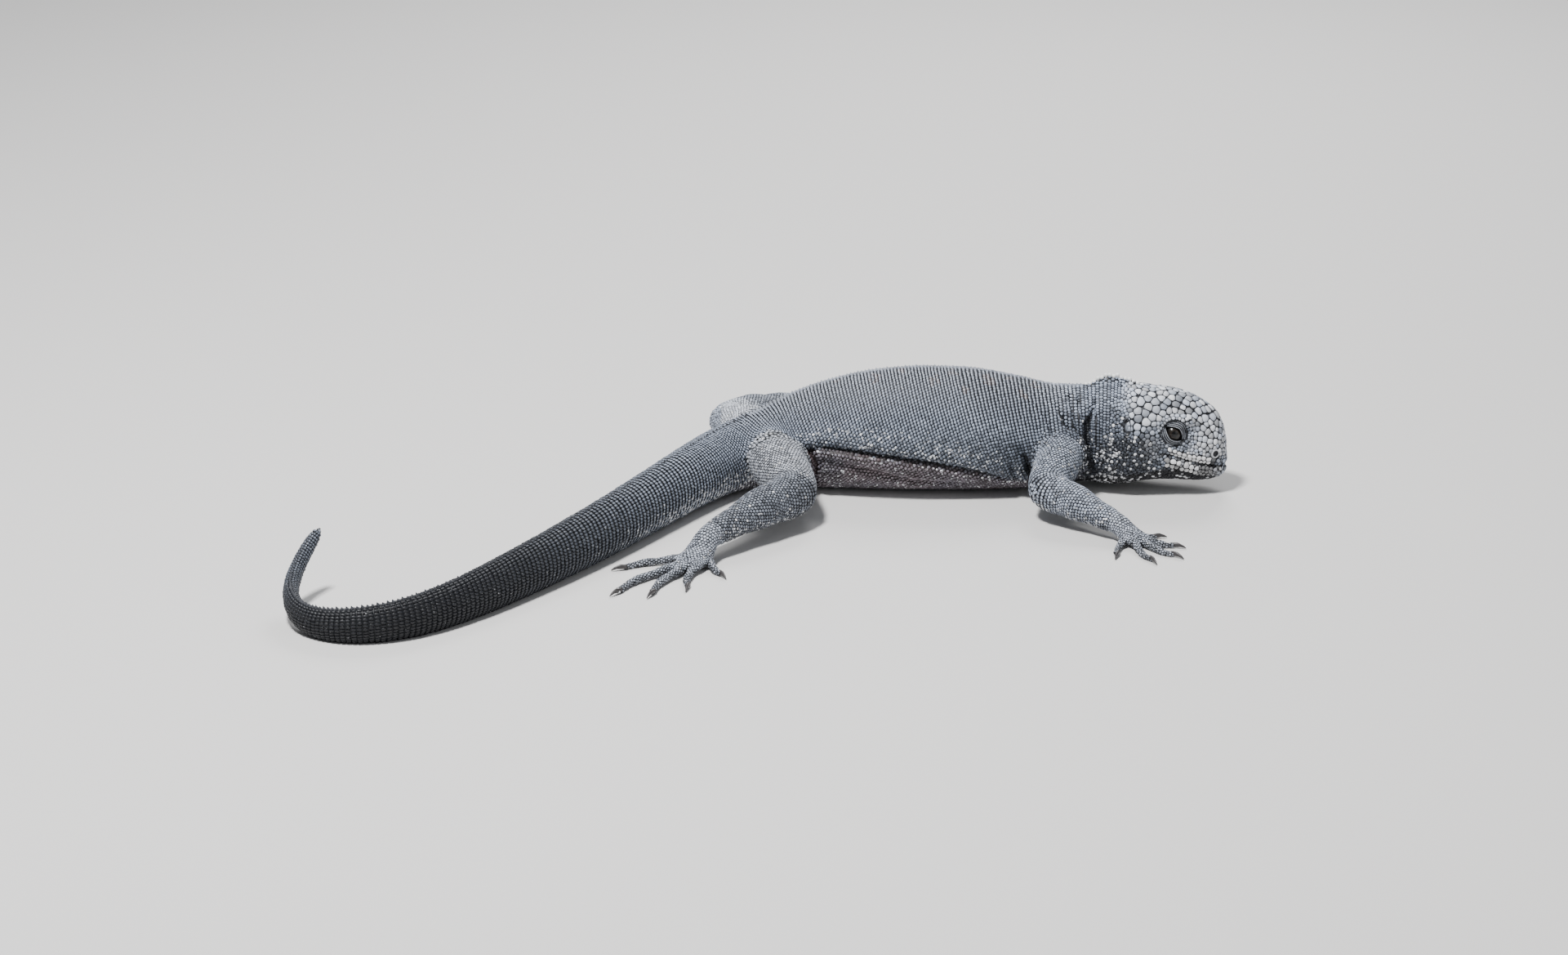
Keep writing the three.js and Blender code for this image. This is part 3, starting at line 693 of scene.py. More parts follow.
    def from_feature(self, spot, side: int, points: np.ndarray) -> tuple[np.ndarray, ...]:
        """Measure points from an eye, ear or nostril.

        Args:
            spot: the eye, ear or nostril.
            side: 1 for the left, -1 for the right.
            points: the points.

        Returns:
            The outward direction, then how far out, across and away each point lies.
        """
        centre, out, along, over = self.feature(spot, side)
        offset = points - centre
        if isinstance(spot, Ear):
            across = np.sqrt((offset @ along / spot.wide) ** 2 + (offset @ over / spot.tall) ** 2)
        else:
            across = np.linalg.norm(offset - np.outer(offset @ out, out), axis=1)
        return out, offset @ out, across, np.linalg.norm(offset, axis=1)


class Tube:
    """A bent tube through knots, such as a limb or a toe."""

    def __init__(self, knots: list[Knot], grow: float = 0.0) -> None:
        """Keep the knots.

        Args:
            knots: the knots in order.
            grow: added to the radius.
        """
        self.points = np.array([knot.at for knot in knots], dtype=float)
        self.wide = np.array([knot.wide for knot in knots]) / 2 + grow
        self.high = np.array([knot.high for knot in knots]) / 2 + grow

    def between_knots(self, share: float) -> tuple[int, float]:
        """Find the knots that a place lies between.

        Args:
            share: 0 at the first knot, 1 at the last.

        Returns:
            The number of the knot before it, and the share of the way to the next.
        """
        place = share * (len(self.points) - 1)
        i = min(int(place), len(self.points) - 2)
        return i, place - i

    def centre(self, share: float) -> np.ndarray:
        """Give a point of the centre line, a centripetal spline.

        Args:
            share: 0 at the first knot, 1 at the last.

        Returns:
            The point.
        """
        points = self.points
        i, u = self.between_knots(share)
        p1, p2 = points[i], points[i + 1]
        p0 = points[i - 1] if i > 0 else 2 * p1 - p2
        p3 = points[i + 2] if i + 2 < len(points) else 2 * p2 - p1
        pairs = ((p0, p1), (p1, p2), (p2, p3))
        d0, d1, d2 = (max(float(np.linalg.norm(b - a)), 1e-4) ** 0.5 for a, b in pairs)
        t1 = ((p1 - p0) / d0 - (p2 - p0) / (d0 + d1) + (p2 - p1) / d1) * d1
        t2 = ((p2 - p1) / d1 - (p3 - p1) / (d1 + d2) + (p3 - p2) / d2) * d1
        cube = 2 * p1 - 2 * p2 + t1 + t2
        square = -3 * p1 + 3 * p2 - 2 * t1 - t2
        return p1 + t1 * u + square * u**2 + cube * u**3

    def frame(self, share: float) -> tuple[np.ndarray, np.ndarray, np.ndarray, np.ndarray, float, float]:
        """Give a cross section.

        Args:
            share: place along the tube.

        Returns:
            Centre, direction along, side and over directions, and both radii.
        """
        low, high = max(0.0, share - 0.001), min(1.0, share + 0.001)
        along = unit(self.centre(high) - self.centre(low))
        side = unit(np.cross([0.0, 0.0, 1.0], along))
        i, u = self.between_knots(share)
        ease = u * u * (3 - 2 * u)
        radii = (radius[i] * (1 - ease) + radius[i + 1] * ease for radius in (self.wide, self.high))
        return self.centre(share), along, side, np.cross(along, side), *radii


class Surface:
    """Vertices and faces that grow piece by piece."""

    def __init__(self) -> None:
        """Start empty."""
        self.vertices: list[np.ndarray] = []
        self.faces: list[tuple[int, ...]] = []
        self.count = 0

    def add(self, vertices: np.ndarray, faces: list[tuple[int, ...]]) -> None:
        """Add a piece.

        Args:
            vertices: its vertices.
            faces: its faces, numbered from 0.
        """
        self.vertices.append(np.asarray(vertices, dtype=float))
        self.faces.extend(tuple(i + self.count for i in face) for face in faces)
        self.count += len(vertices)

    def add_rings(self, rings: np.ndarray, closed: bool = True) -> None:
        """Add a skin over rings of points, capped at both ends.

        Args:
            rings: an array of rings by points by 3.
            closed: whether the ends are capped with points at their middles.
        """
        count, sides = rings.shape[:2]
        vertices = rings.reshape(-1, 3)
        faces = ring_quads(count, sides).tolist()
        if closed:
            ends = np.stack([rings[0].mean(axis=0), rings[-1].mean(axis=0)])
            base = len(vertices)
            last = base - sides
            vertices = np.concatenate([vertices, ends])
            for j in range(sides):
                k = (j + 1) % sides
                faces += [(base, k, j), (base + 1, last + j, last + k)]
        self.add(vertices, faces)

    def all_vertices(self) -> np.ndarray:
        """Join the vertices.

        Returns:
            One array.
        """
        return np.concatenate(self.vertices)


class Placer:
    """Turns build-frame millimetres into packed-frame metres and makes objects."""

    def __init__(self, line: BodyLine) -> None:
        """Find the shift between the frames from an eye's place.

        Args:
            line: the body's line.
        """
        low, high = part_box("eye_right")
        centre = (np.array(low) + np.array(high)) / 2 / MM
        named = line.head_point(EYE.at, EYE.height, -EYE.out)
        self.shift = np.array([centre[0] - named[0], centre[1] - named[1], 0.0])
        LOG.info("shift of the build frame %s", self.shift)

    def to_scene(self, points: np.ndarray) -> np.ndarray:
        """Move points to the scene.

        Args:
            points: build-frame points in millimetres.

        Returns:
            Packed-frame points in metres.
        """
        return (np.asarray(points) + self.shift) * MM

    def from_scene(self, mesh: bpy.types.Mesh) -> np.ndarray:
        """Read a mesh's vertices.

        Args:
            mesh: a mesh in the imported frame, in metres.

        Returns:
            Build-frame points in millimetres.
        """
        return read(mesh.vertices, "co", 3) / MM - self.shift

    def object_of(self, name: str, vertices: np.ndarray, faces) -> bpy.types.Object:
        """Make an object with smooth shading.

        Args:
            name: its name.
            vertices: build-frame vertices in millimetres.
            faces: its faces.

        Returns:
            The object, linked to the scene.
        """
        mesh = bpy.data.meshes.new(name)
        mesh.from_pydata(self.to_scene(vertices).tolist(), [], faces)
        mesh.update()
        mesh.shade_smooth()
        return link(name, mesh)


def tube_rings(tube: Tube, sides: int, rings: int) -> np.ndarray:
    """Sample a tube's surface.

    Args:
        tube: the tube.
        sides: points round it.
        rings: rings along it.

    Returns:
        An array of rings by sides by 3.
    """
    angles = circle(sides)
    made = []
    for share in np.linspace(0, 1, rings):
        centre, _, side, over, wide, high = tube.frame(float(share))
        made.append(centre + np.outer(np.sin(angles) * wide, side) + np.outer(np.cos(angles) * high, over))
    return np.array(made)


def ball_points(centre: np.ndarray, radii: tuple[float, float, float], axes: np.ndarray) -> np.ndarray:
    """Sample an ellipsoid as rings.

    Args:
        centre: its middle.
        radii: its three radii.
        axes: rows are its three directions.

    Returns:
        An array of rings by sides by 3.
    """
    tilt = np.linspace(0.12, math.pi - 0.12, 13)[:, None]
    turn = (np.arange(20) / 20 * 2 * math.pi)[None, :]
    height = np.cos(tilt) * np.ones_like(turn)
    local = np.stack([np.sin(tilt) * np.cos(turn), np.sin(tilt) * np.sin(turn), height], axis=-1)
    return np.asarray(centre) + (local * np.array(radii)) @ np.asarray(axes)


def on_ground(start, degrees: float, distance: float, height: float) -> tuple[float, float, float]:
    """Give a point at a distance and direction from another.

    Args:
        start: the point it is measured from.
        degrees: its direction.
        distance: how far it is.
        height: its height.

    Returns:
        The point.
    """
    turn = math.radians(degrees)
    return (start[0] + math.cos(turn) * distance, start[1] + math.sin(turn) * distance, height)


def digit_parts(limb: Limb, plan: Digit, grow: float) -> tuple[Tube, Tube]:
    """Lay out a digit and its claw.

    Args:
        limb: the limb it belongs to.
        plan: its sizes.
        grow: added to the flesh's radius.

    Returns:
        The flesh and the claw.
    """
    turned = limb.heading - limb.side * plan.turn
    rooted = limb.heading - limb.side * plan.turn * 0.55
    root = on_ground(limb.ankle.at, rooted, plan.root - 5, 2.9)
    start = on_ground(limb.ankle.at, rooted, plan.root, 2.4)
    low = plan.thick / 2 - GROUND_SINK

    def knuckle(share: float, size: float, rise: float) -> Knot:
        bow = limb.side * 7 * math.sin(math.pi * share)
        at = on_ground(start, turned + bow, plan.length * share, low + rise)
        return Knot(at, plan.thick * size, plan.thick * size * 0.94)

    flesh = Tube(
        [
            Knot(root, plan.thick * 1.2, plan.thick * 1.05),
            Knot(start, plan.thick * 1.15, plan.thick * 1.1),
            knuckle(0.3, 1.1, 0.75),
            knuckle(0.45, 0.92, 0.5),
            knuckle(0.62, 1.0, 0.4),
            knuckle(0.8, 0.82, 0.1),
            knuckle(1, 0.72, 0.1),
        ],
        grow,
    )
    end = knuckle(1, 1, 0).at
    claw = Tube(
        [
            Knot(on_ground(end, turned, -1.6, low + 0.15), CLAW_THICK, CLAW_THICK * 1.15),
            Knot(on_ground(end, turned, 0.4, low + 0.35), CLAW_THICK * 0.9, CLAW_THICK * 1.25),
            Knot(on_ground(end, turned, CLAW_LENGTH * 0.6, low + 0.1), 0.8, 1.0),
            Knot(on_ground(end, turned, CLAW_LENGTH, 0.45), 0.3, 0.35),
        ]
    )
    return flesh, claw


def limb_tubes(limb: Limb, grow: float) -> list[Tube]:
    """Lay out the flesh of a limb above its digits.

    Args:
        limb: the limb.
        grow: added to every radius.

    Returns:
        The limb's tube from root to ankle and its sole.
    """
    chain = Tube([limb.root, limb.upper, limb.bend, limb.calf, limb.lower, limb.ankle], grow)
    length, wide, high = limb.sole
    sole = Tube(
        [
            limb.lower,
            limb.ankle,
            Knot(on_ground(limb.ankle.at, limb.heading, length * 0.5, 3.0), wide * 0.82, high * 1.3),
            Knot(on_ground(limb.ankle.at, limb.heading, length, 2.2), wide * 0.9, high * 0.8),
        ],
        grow,
    )
    return [chain, sole]


class Skin:
    """One skin over the whole animal."""

    SMOOTH_STEPS = 12
    JOINT_STEPS = 26
    JOINT_REACH = 22
    JOINT_FADE = 8
    FOLD_DEPTH = 1.5
    FOLD_RIM = 0.6
    FOLD_WIDTH = 1.2
    FULL_CREASE = 0.95
    LIP_GROOVE = 1.1
    LIP_RIM = 0.28

    def __init__(self, line: BodyLine, place: Placer) -> None:
        """Keep the body's line.

        Args:
            line: the body's line.
            place: makes the object.
        """
        self.line = line
        self.place = place
        self.creases = np.zeros(0)

    def rough(self) -> Surface:
        """Gather the closed forms that the skin wraps.

        Returns:
            The overlapping forms.
        """
        made = Surface()
        snout, front = np.linspace(0, 6, 14)[:-1], np.linspace(6, 60, 55)[:-1]
        stations = np.concatenate([snout, front, np.linspace(60, LENGTH, 240)])
        turns = np.arange(48) / 48
        made.add_rings(self.line.points(stations[:, None], turns[None, :], -COAT_DEPTH))
        for limb in LIMBS.values():
            for tube in limb_tubes(limb, -COAT_DEPTH):
                made.add_rings(tube_rings(tube, 24, 40))
            bend = limb.bend
            wide, high = bend.wide * 0.52 - COAT_DEPTH, bend.high * 0.5 - COAT_DEPTH
            made.add_rings(ball_points(np.array(bend.at), (wide, wide, high), np.eye(3)))
            for plan in limb.digits:
                flesh, _ = digit_parts(limb, plan, -DIGIT_DEPTH)
                made.add_rings(tube_rings(flesh, 14, 36))
        for side in SIDES.values():
            self.add_brow(made, side)
        ridge = []
        for at in (30.5, 34, 37.5, 41, 45, 49):
            rise = max(0.1, float(between(CREST_HEIGHTS, 1, at)) - 1.5)
            top = float(between(SECTIONS, 1, at))
            ridge.append(Knot(tuple(self.line.head_point(at, top - 1.2, 0.0)), 2.6, 2 * (rise + 1.2)))
        made.add_rings(tube_rings(Tube(ridge), 16, 40))
        return made

    def add_brow(self, made: Surface, side: int) -> None:
        """Add the ridge over an eye and the swelling of a nostril.

        Args:
            made: what they are added to.
            side: 1 for the left, -1 for the right.
        """
        _, back, left, up = self.line.frames(BROW_AT)
        centre = self.line.head_point(BROW_AT, 27.2, side * 9.3)
        made.add_rings(ball_points(centre, (6.4, 2.1, 1.8), np.stack([back, left, up])))
        point, out, along, over = self.line.feature(NOSTRIL, side)
        made.add_rings(ball_points(point - out * 0.5, (2.0, 1.8, 1.0), np.stack([along, over, out])))

    def build(self) -> bpy.types.Object:
        """Wrap, smooth and fold the skin.

        Returns:
            The skin's object.
        """
        rough = self.rough()
        source = self.place.object_of("skin_source", rough.all_vertices(), rough.faces)
        remesh = source.modifiers.new("wrap", "REMESH")
        remesh.mode = "VOXEL"
        remesh.voxel_size = SKIN_VOXEL * MM
        remesh.use_smooth_shade = True
        graph = bpy.context.evaluated_depsgraph_get()
        mesh = bpy.data.meshes.new_from_object(source.evaluated_get(graph))
        mesh.name = "skin"
        bpy.data.objects.remove(source)
        self.shape(mesh)
        return link("skin", mesh)

    def shape(self, mesh: bpy.types.Mesh) -> None:
        """Smooth the mesh, then press folds, sockets and the mouth into it.

        Args:
            mesh: the mesh.
        """
        edges = read(mesh.edges, "vertices", 2, np.int64)
        points = self.smooth(self.place.from_scene(mesh), edges)
        normals = self.normals_of(mesh, points)
        moved = self.relief(points)
        self.creases = np.clip(-moved / self.FULL_CREASE, 0, 1)
        points = points + normals * moved[:, None]
        points = self.press_features(points, normals)
        points[:, 2] = np.maximum(points[:, 2], FLOOR_GAP)
        mesh.vertices.foreach_set("co", self.place.to_scene(points).ravel())
        mesh.update()
        mesh.shade_smooth()

    def smooth(self, points: np.ndarray, edges: np.ndarray) -> np.ndarray:
        """Even out the voxel steps, and round the roots of the limbs more.

        Args:
            points: the vertices.
            edges: pairs of vertex numbers.

        Returns:
            The smoothed vertices.
        """
        count = len(points)
        degree = np.maximum(np.bincount(edges.ravel(), minlength=count), 1)[:, None]
        roots = []
        for limb in LIMBS.values():
            roots += [limb.root.at, limb.upper.at]
        near = np.min([np.linalg.norm(points - np.array(root), axis=1) for root in roots], axis=0)
        joint = np.clip((self.JOINT_REACH - near) / self.JOINT_FADE, 0, 1)[:, None]

        def mean(values: np.ndarray) -> np.ndarray:
            total = np.empty_like(values)
            for axis in range(3):
                first = np.bincount(edges[:, 0], values[edges[:, 1], axis], count)
                second = np.bincount(edges[:, 1], values[edges[:, 0], axis], count)
                total[:, axis] = first + second
            return total / degree

        for step in range(self.SMOOTH_STEPS):
            rate = 0.55 if step % 2 == 0 else -0.56
            points = points + (mean(points) - points) * rate
        for _ in range(self.JOINT_STEPS):
            points = points + (mean(points) - points) * 0.5 * joint
        return points

    @staticmethod
    def normals_of(mesh: bpy.types.Mesh, points: np.ndarray) -> np.ndarray:
        """Give vertex normals.

        Args:
            mesh: the mesh.
            points: its vertices in millimetres.

        Returns:
            Unit normals.
        """
        loops = read(mesh.loops, "vertex_index", 1, np.int64)
        starts = read(mesh.polygons, "loop_start", 1, np.int64)
        totals = read(mesh.polygons, "loop_total", 1, np.int64)
        corners = [loops[starts + np.minimum(offset, totals - 1)] for offset in range(4)]
        a, b, c, d = (points[corner] for corner in corners)
        face = np.cross(c - a, d - b)
        normals = np.zeros_like(points)
        for corner in corners:
            for axis in range(3):
                normals[:, axis] += np.bincount(corner, face[:, axis], len(points))
        return unit(normals)

    def relief(self, points: np.ndarray) -> np.ndarray:
        """Work out how far folds and lips move the skin.

        Args:
            points: the vertices.

        Returns:
            A distance outwards for each.
        """
        moved = np.zeros(len(points))
        for fold in FOLDS:
            for side in SIDES.values():
                knots = np.array([[at, turn if side > 0 else 1 - turn] for at, turn in fold.points])
                dense = np.linspace(0, len(knots) - 1, 40)
                at = np.interp(dense, np.arange(len(knots)), knots[:, 0])
                turn = np.interp(dense, np.arange(len(knots)), knots[:, 1])
                path = self.line.points(at, turn, -COAT_DEPTH)
                fade = np.sin(np.pi * np.clip(dense / dense[-1], 0.04, 0.96)) ** 0.5
                low, high = path.min(axis=0) - 6, path.max(axis=0) + 6
                inside = np.all((points > low) & (points < high), axis=1)
                local = points[inside]
                gaps = np.linalg.norm(local[:, None, :] - path[None, :, :], axis=2)
                best = gaps.argmin(axis=1)
                away = gaps.min(axis=1) / (fold.width * self.FOLD_WIDTH)
                groove = -self.FOLD_DEPTH * np.exp(-(away**2)) + self.FOLD_RIM * np.exp(-((away - 1.9) ** 2))
                moved[inside] += groove * fold.depth * fade[best]
        return moved

    def press_features(self, points: np.ndarray, normals: np.ndarray) -> np.ndarray:
        """Press the eye sockets, ears, nostrils and mouth into the head.

        Args:
            points: the vertices.
            normals: their outward directions.

        Returns:
            The moved vertices.
        """
        points = points.copy()
        for side in SIDES.values():
            out, facing, across, away = self.line.from_feature(EYE, side, points)
            hollow = np.clip((EYE.socket - across) / EYE.slope, 0, 1) * EYE.depth
            points -= np.outer(np.where((away < EYE.reach) & (facing > 0), hollow, 0), out)
            out, _, across, away = self.line.from_feature(EAR, side, points)
            hollow = np.clip((EAR.socket - across) / EAR.slope, 0, 1) * EAR.depth
            points -= np.outer(np.where(away < EAR.reach, hollow, 0), out)
            out, _, _, away = self.line.from_feature(NOSTRIL, side, points)
            points -= np.outer(np.clip((NOSTRIL.socket - away) / NOSTRIL.slope, 0, 1) * NOSTRIL.depth, out)
        return self.press_mouth(points, normals)

    def press_mouth(self, points: np.ndarray, normals: np.ndarray) -> np.ndarray:
        """Press the line of the mouth into the head.

        Args:
            points: the vertices.
            normals: their outward directions.

        Returns:
            The moved vertices.
        """
        head = points[:, 0] > 118
        local = points[head]
        along = np.clip((SNOUT_X - local[:, 0]) * 1.004, 0, 40)
        line = between(MOUTH_LINE, 1, along)
        away = np.abs(local[:, 2] - line)
        fade = np.clip((27 - along) / 4, 0, 1)
        groove = np.exp(-((away / 0.6) ** 2)) * self.LIP_GROOVE * fade
        # The groove counts as a crease, which later paints shade along the mouth.
        self.creases[head] = np.maximum(self.creases[head], np.clip(groove, 0, 1))
        lip = np.exp(-(((away - 1.5) / 0.9) ** 2)) * self.LIP_RIM * fade
        points[head] = local + normals[head] * (lip - groove)[:, None]
        return points


@dataclass
class ScaleSet:
    """Roots of the scales, one row each."""

    points: list[np.ndarray] = field(default_factory=list)
    aft: list[np.ndarray] = field(default_factory=list)
    sizes: list[np.ndarray] = field(default_factory=list)
    stations: list[np.ndarray] = field(default_factory=list)
    turns: list[np.ndarray] = field(default_factory=list)
    regions: list[np.ndarray] = field(default_factory=list)

    def add(self, points, aft, sizes, stations, turns, region: Region) -> None:
        """Add scales of one region.

        Args:
            points: their roots.
            aft: their directions towards the tail or toes.
            sizes: their spacings.
            stations: distances from the snout, or along a limb.
            turns: places round the body or limb.
            region: where they grow.
        """
        if not len(points):
            return
        count = len(points)
        self.points.append(np.asarray(points, float))
        self.aft.append(np.asarray(aft, float))
        for store, value in ((self.sizes, sizes), (self.stations, stations), (self.turns, turns)):
            store.append(np.broadcast_to(np.asarray(value, float), (count,)).copy())
        self.regions.append(np.full(count, region.value))

    def joined(self, name: str) -> np.ndarray:
        """Join one property of all the scales.

        Args:
            name: the property.

        Returns:
            One array.
        """
        return np.concatenate(getattr(self, name))


class ScalePlanner:
    """Decides where every scale grows."""

    TRUNK_PITCH = 1.14
    TRUNK_ACROSS = 1.04
    TAIL_ACROSS = 1.08
    JITTER = 0.05
    LOOSE_PITCH = 1.05
    HEAD_PITCH = 0.92
    HEAD_SHARE = 5
    CELL = 1.3
    ROOM = 0.43

    def __init__(self, line: BodyLine, tree: BVHTree) -> None:
        """Keep the skin to grow on.

        Args:
            line: the body's line.
            tree: the skin, in build-frame millimetres.
        """
        self.line = line
        self.tree = tree
        self.random = np.random.default_rng(SEED)
        self.scales = ScaleSet()

    def cast(self, starts: np.ndarray, targets: np.ndarray) -> tuple[np.ndarray, np.ndarray]:
        """Find the skin outwards from the middle of the body or a limb.

        Args:
            starts: points inside.
            targets: points near the skin.

        Returns:
            Points on the skin, and which of them lie near their targets.
        """
        found = np.array(targets, dtype=float)
        good = np.zeros(len(targets), dtype=bool)
        for i, (start, target) in enumerate(zip(starts, targets)):
            way = target - start
            reach = float(np.linalg.norm(way))
            if reach < 0.2:
                continue
            way = way / reach
            hit, _, _, distance = self.tree.ray_cast(Vector(start), Vector(way), reach * 2 + 3)
            if hit is None:
                continue
            found[i] = hit
            good[i] = abs(distance - reach) < 0.12 * reach + 1.3
        return found, good

    def grow_body(self) -> None:
        """Set the rows of the trunk and tail."""
        at = HEAD_END + 1.0
        row = 0
        while at < LENGTH - 2.5:
            tail = np.clip((at - TAIL_FROM) / 35, 0, 1)
            pitch = self.TRUNK_PITCH * (1 - tail) + between(TAIL_PITCHES, 1, at) * tail
            outline = self.line.points(at, np.arange(64) / 64)
            steps = np.linalg.norm(np.diff(np.vstack([outline, outline[:1]]), axis=0), axis=1)
            girth = steps.sum()
            across = self.TRUNK_ACROSS * (1 - tail) + self.TAIL_ACROSS * tail
            count = max(6, int(round(girth / across)))
            offset = 0.5 * (row % 2) * (at < TAIL_FROM + 10)
            spread = (np.arange(count) + offset + self.random.normal(0, self.JITTER, count)) / count
            lengths = np.concatenate([[0], np.cumsum(steps)]) / girth
            turns = np.interp(spread % 1, lengths, np.arange(65) / 64)
            slant = 8.5 * (1 - tail) * np.cos(turns * 2 * np.pi) * np.clip((at - 40) / 45, 0, 1)
            stations = at + slant + self.random.normal(0, self.JITTER, count)
            belly = np.where(turns > 0.5, 1 - turns, turns) > 0.44
            flat = (stations > 60) & (stations < 300)
            border = 44.5 - 8.5 * np.cos(turns * 2 * np.pi) + self.random.normal(0, 1.0, count)
            keep = ~(belly & flat) & (stations > border)
            turns, stations = turns[keep], stations[keep]
            targets = self.line.points(stations, turns, -COAT_DEPTH)
            starts = self.line.points(stations, turns, 0.0, 0.05)
            points, good = self.cast(starts, targets)
            aft = self.line.direction(stations)
            region = Region.TAIL if at > TAIL_FROM else Region.TRUNK
            self.scales.add(points[good], aft[good], pitch, stations[good], turns[good], region)
            at += pitch
            row += 1

    def grow_tube(self, tube: Tube, pitch: float, region: Region, ends: tuple[float, float]) -> None:
        """Set scales in offset rows round a limb or digit.

        Args:
            tube: the limb's tube.
            pitch: spacing of the scales.
            region: the part of the body.
            ends: where along the tube rows start and end.
        """
        shares = np.linspace(0, 1, 160)
        centres = np.array([tube.centre(float(share)) for share in shares])
        lengths = np.concatenate([[0], np.cumsum(np.linalg.norm(np.diff(centres, axis=0), axis=1))])
        place = lengths[-1] * ends[0]
        row = 0
        while place < lengths[-1] * ends[1]:
            share = float(np.interp(place, lengths, shares))
            centre, along, side, over, wide, high = tube.frame(share)
            count = max(6, int(round(math.pi * (wide + high) / pitch)))
            jitter = self.random.normal(0, self.JITTER, count)
            turns = (np.arange(count) + 0.5 * (row % 2) + jitter) / count
            angles = turns * 2 * np.pi
            targets = centre + np.outer(np.sin(angles) * wide, side) + np.outer(np.cos(angles) * high, over)
            targets = targets + np.outer(self.random.normal(0, self.JITTER, count), along)
            starts = np.broadcast_to(centre, targets.shape)
            points, good = self.cast(starts, targets)
            good &= points[:, 2] > GROUND_SINK
            aft = np.broadcast_to(along, points.shape)
            self.scales.add(points[good], aft[good], pitch, lengths[-1], turns[good] % 1, region)
            place += pitch * 0.88
            row += 1

    def grow_limbs(self) -> None:
        """Set the scales of the legs, feet and digits."""
        for limb in LIMBS.values():
            chain, sole = limb_tubes(limb, -COAT_DEPTH)
            self.grow_tube(chain, 1.12, Region.LIMB, (0.2, 0.96))
            self.grow_tube(sole, 1.0, Region.FOOT, (0.32, 0.98))
            for plan in limb.digits:
                flesh, _ = digit_parts(limb, plan, -DIGIT_DEPTH)
                self.grow_tube(flesh, 0.95, Region.FOOT, (0.16, 0.97))

    def head_size(self, points: np.ndarray) -> np.ndarray:
        """Choose the size of head scales by place.

        Args:
            points: places on the head.

        Returns:
            Their spacings.
        """
        along = SNOUT_X - points[:, 0]
        height = points[:, 2]
        size = np.full(len(points), self.HEAD_PITCH)
        size += 1.2 * ramp(25.5, 28.5, height) * ramp(36, 31, along)
        size += 0.85 * ramp(14, 9, along) * ramp(15, 19, height) * (size < 1.5)
        temple = 0.5 * ramp(20, 23, along) * ramp(34, 30, along)
        size += temple * ramp(17, 20, height) * (size < 1.4)
        for side in SIDES.values():
            for patch in HEAD_PATCHES:
                centre = self.line.head_point(patch.at, patch.height, side * patch.out)
                away = np.linalg.norm(points - centre, axis=1)
                share = ramp(patch.reach, patch.reach * 0.6, away)
                size = size * (1 - share) + patch.size * share
        return size * self.random.uniform(0.8, 1.22, len(points))

    def grow_lips(self) -> None:
        """Set the rows of larger scales along the lips."""
        for side in SIDES.values():
            for row in LIP_ROWS:
                at = row.start
                while at < row.end:
                    height = float(between(MOUTH_LINE, 1, at)) + row.offset
                    turn = self.line.turn_at(at, height, side)
                    target = self.line.points(at, turn, -COAT_DEPTH)
                    hit, _, _, _ = self.tree.find_nearest(Vector(target))
                    size = row.size * float(self.random.uniform(0.88, 1.12))
                    aft = self.line.direction(at)[None, :]
                    self.scales.add(np.array([hit]), aft, size, at, turn, Region.HEAD)
                    at += size

    def fill(self, areas: np.ndarray, corners: np.ndarray) -> None:
        """Fill what has no scales yet, the head first.

        Args:
            areas: area of each triangle of the skin.
            corners: corners of each triangle.
        """
        chance = areas / areas.sum()
        middles = corners.mean(axis=1)
        head_faces = (middles[:, 0] > SNOUT_X - NECK_END) & (np.abs(middles[:, 1]) < 20)
        chance = np.where(head_faces, chance * self.HEAD_SHARE, chance)
        chosen = self.random.choice(len(areas), size=CANDIDATES, p=chance / chance.sum())
        first, second = self.random.random((2, CANDIDATES))
        flip = first + second > 1
        first[flip], second[flip] = 1 - first[flip], 1 - second[flip]
        a, b, c = (corners[chosen, corner] for corner in range(3))
        points = a + (b - a) * first[:, None] + (c - a) * second[:, None]
        head = head_faces[chosen]
        sizes = np.where(head, self.head_size(points), self.LOOSE_PITCH)
        blocked = (points[:, 2] < 0.5) | self.in_features(points)
        self.throw(points, sizes, head, blocked)

    def in_features(self, points: np.ndarray) -> np.ndarray:
        """Mark points that lie in an eye, ear, nostril or the mouth.

        Args:
            points: places on the skin.

        Returns:
            A mask.
        """
        blocked = np.zeros(len(points), dtype=bool)
        for side in SIDES.values():
            _, facing, across, _ = self.line.from_feature(EYE, side, points)
            blocked |= (across < EYE.bare) & (facing > 0)
            _, _, across, away = self.line.from_feature(EAR, side, points)
            blocked |= (across < EAR.bare) & (away < EAR.reach)
            blocked |= self.line.from_feature(NOSTRIL, side, points)[3] < NOSTRIL.bare
        along = SNOUT_X - points[:, 0]
        line = between(MOUTH_LINE, 1, np.clip(along, 0, 40))
        blocked |= (along < 23) & (np.abs(points[:, 2] - line) < 0.6)
        return blocked

    def throw(self, points: np.ndarray, sizes: np.ndarray, head: np.ndarray, blocked: np.ndarray) -> None:
        """Keep the points that have room, largest scales first.

        Args:
            points: candidate places.
            sizes: their spacings.
            head: which are on the head.
            blocked: which may not be used.
        """
        grid: dict[tuple[int, int, int], list[tuple[float, float, float, float]]] = {}

        def cell_of(x: float, y: float, z: float) -> tuple[int, int, int]:
            return int(x // self.CELL), int(y // self.CELL), int(z // self.CELL)

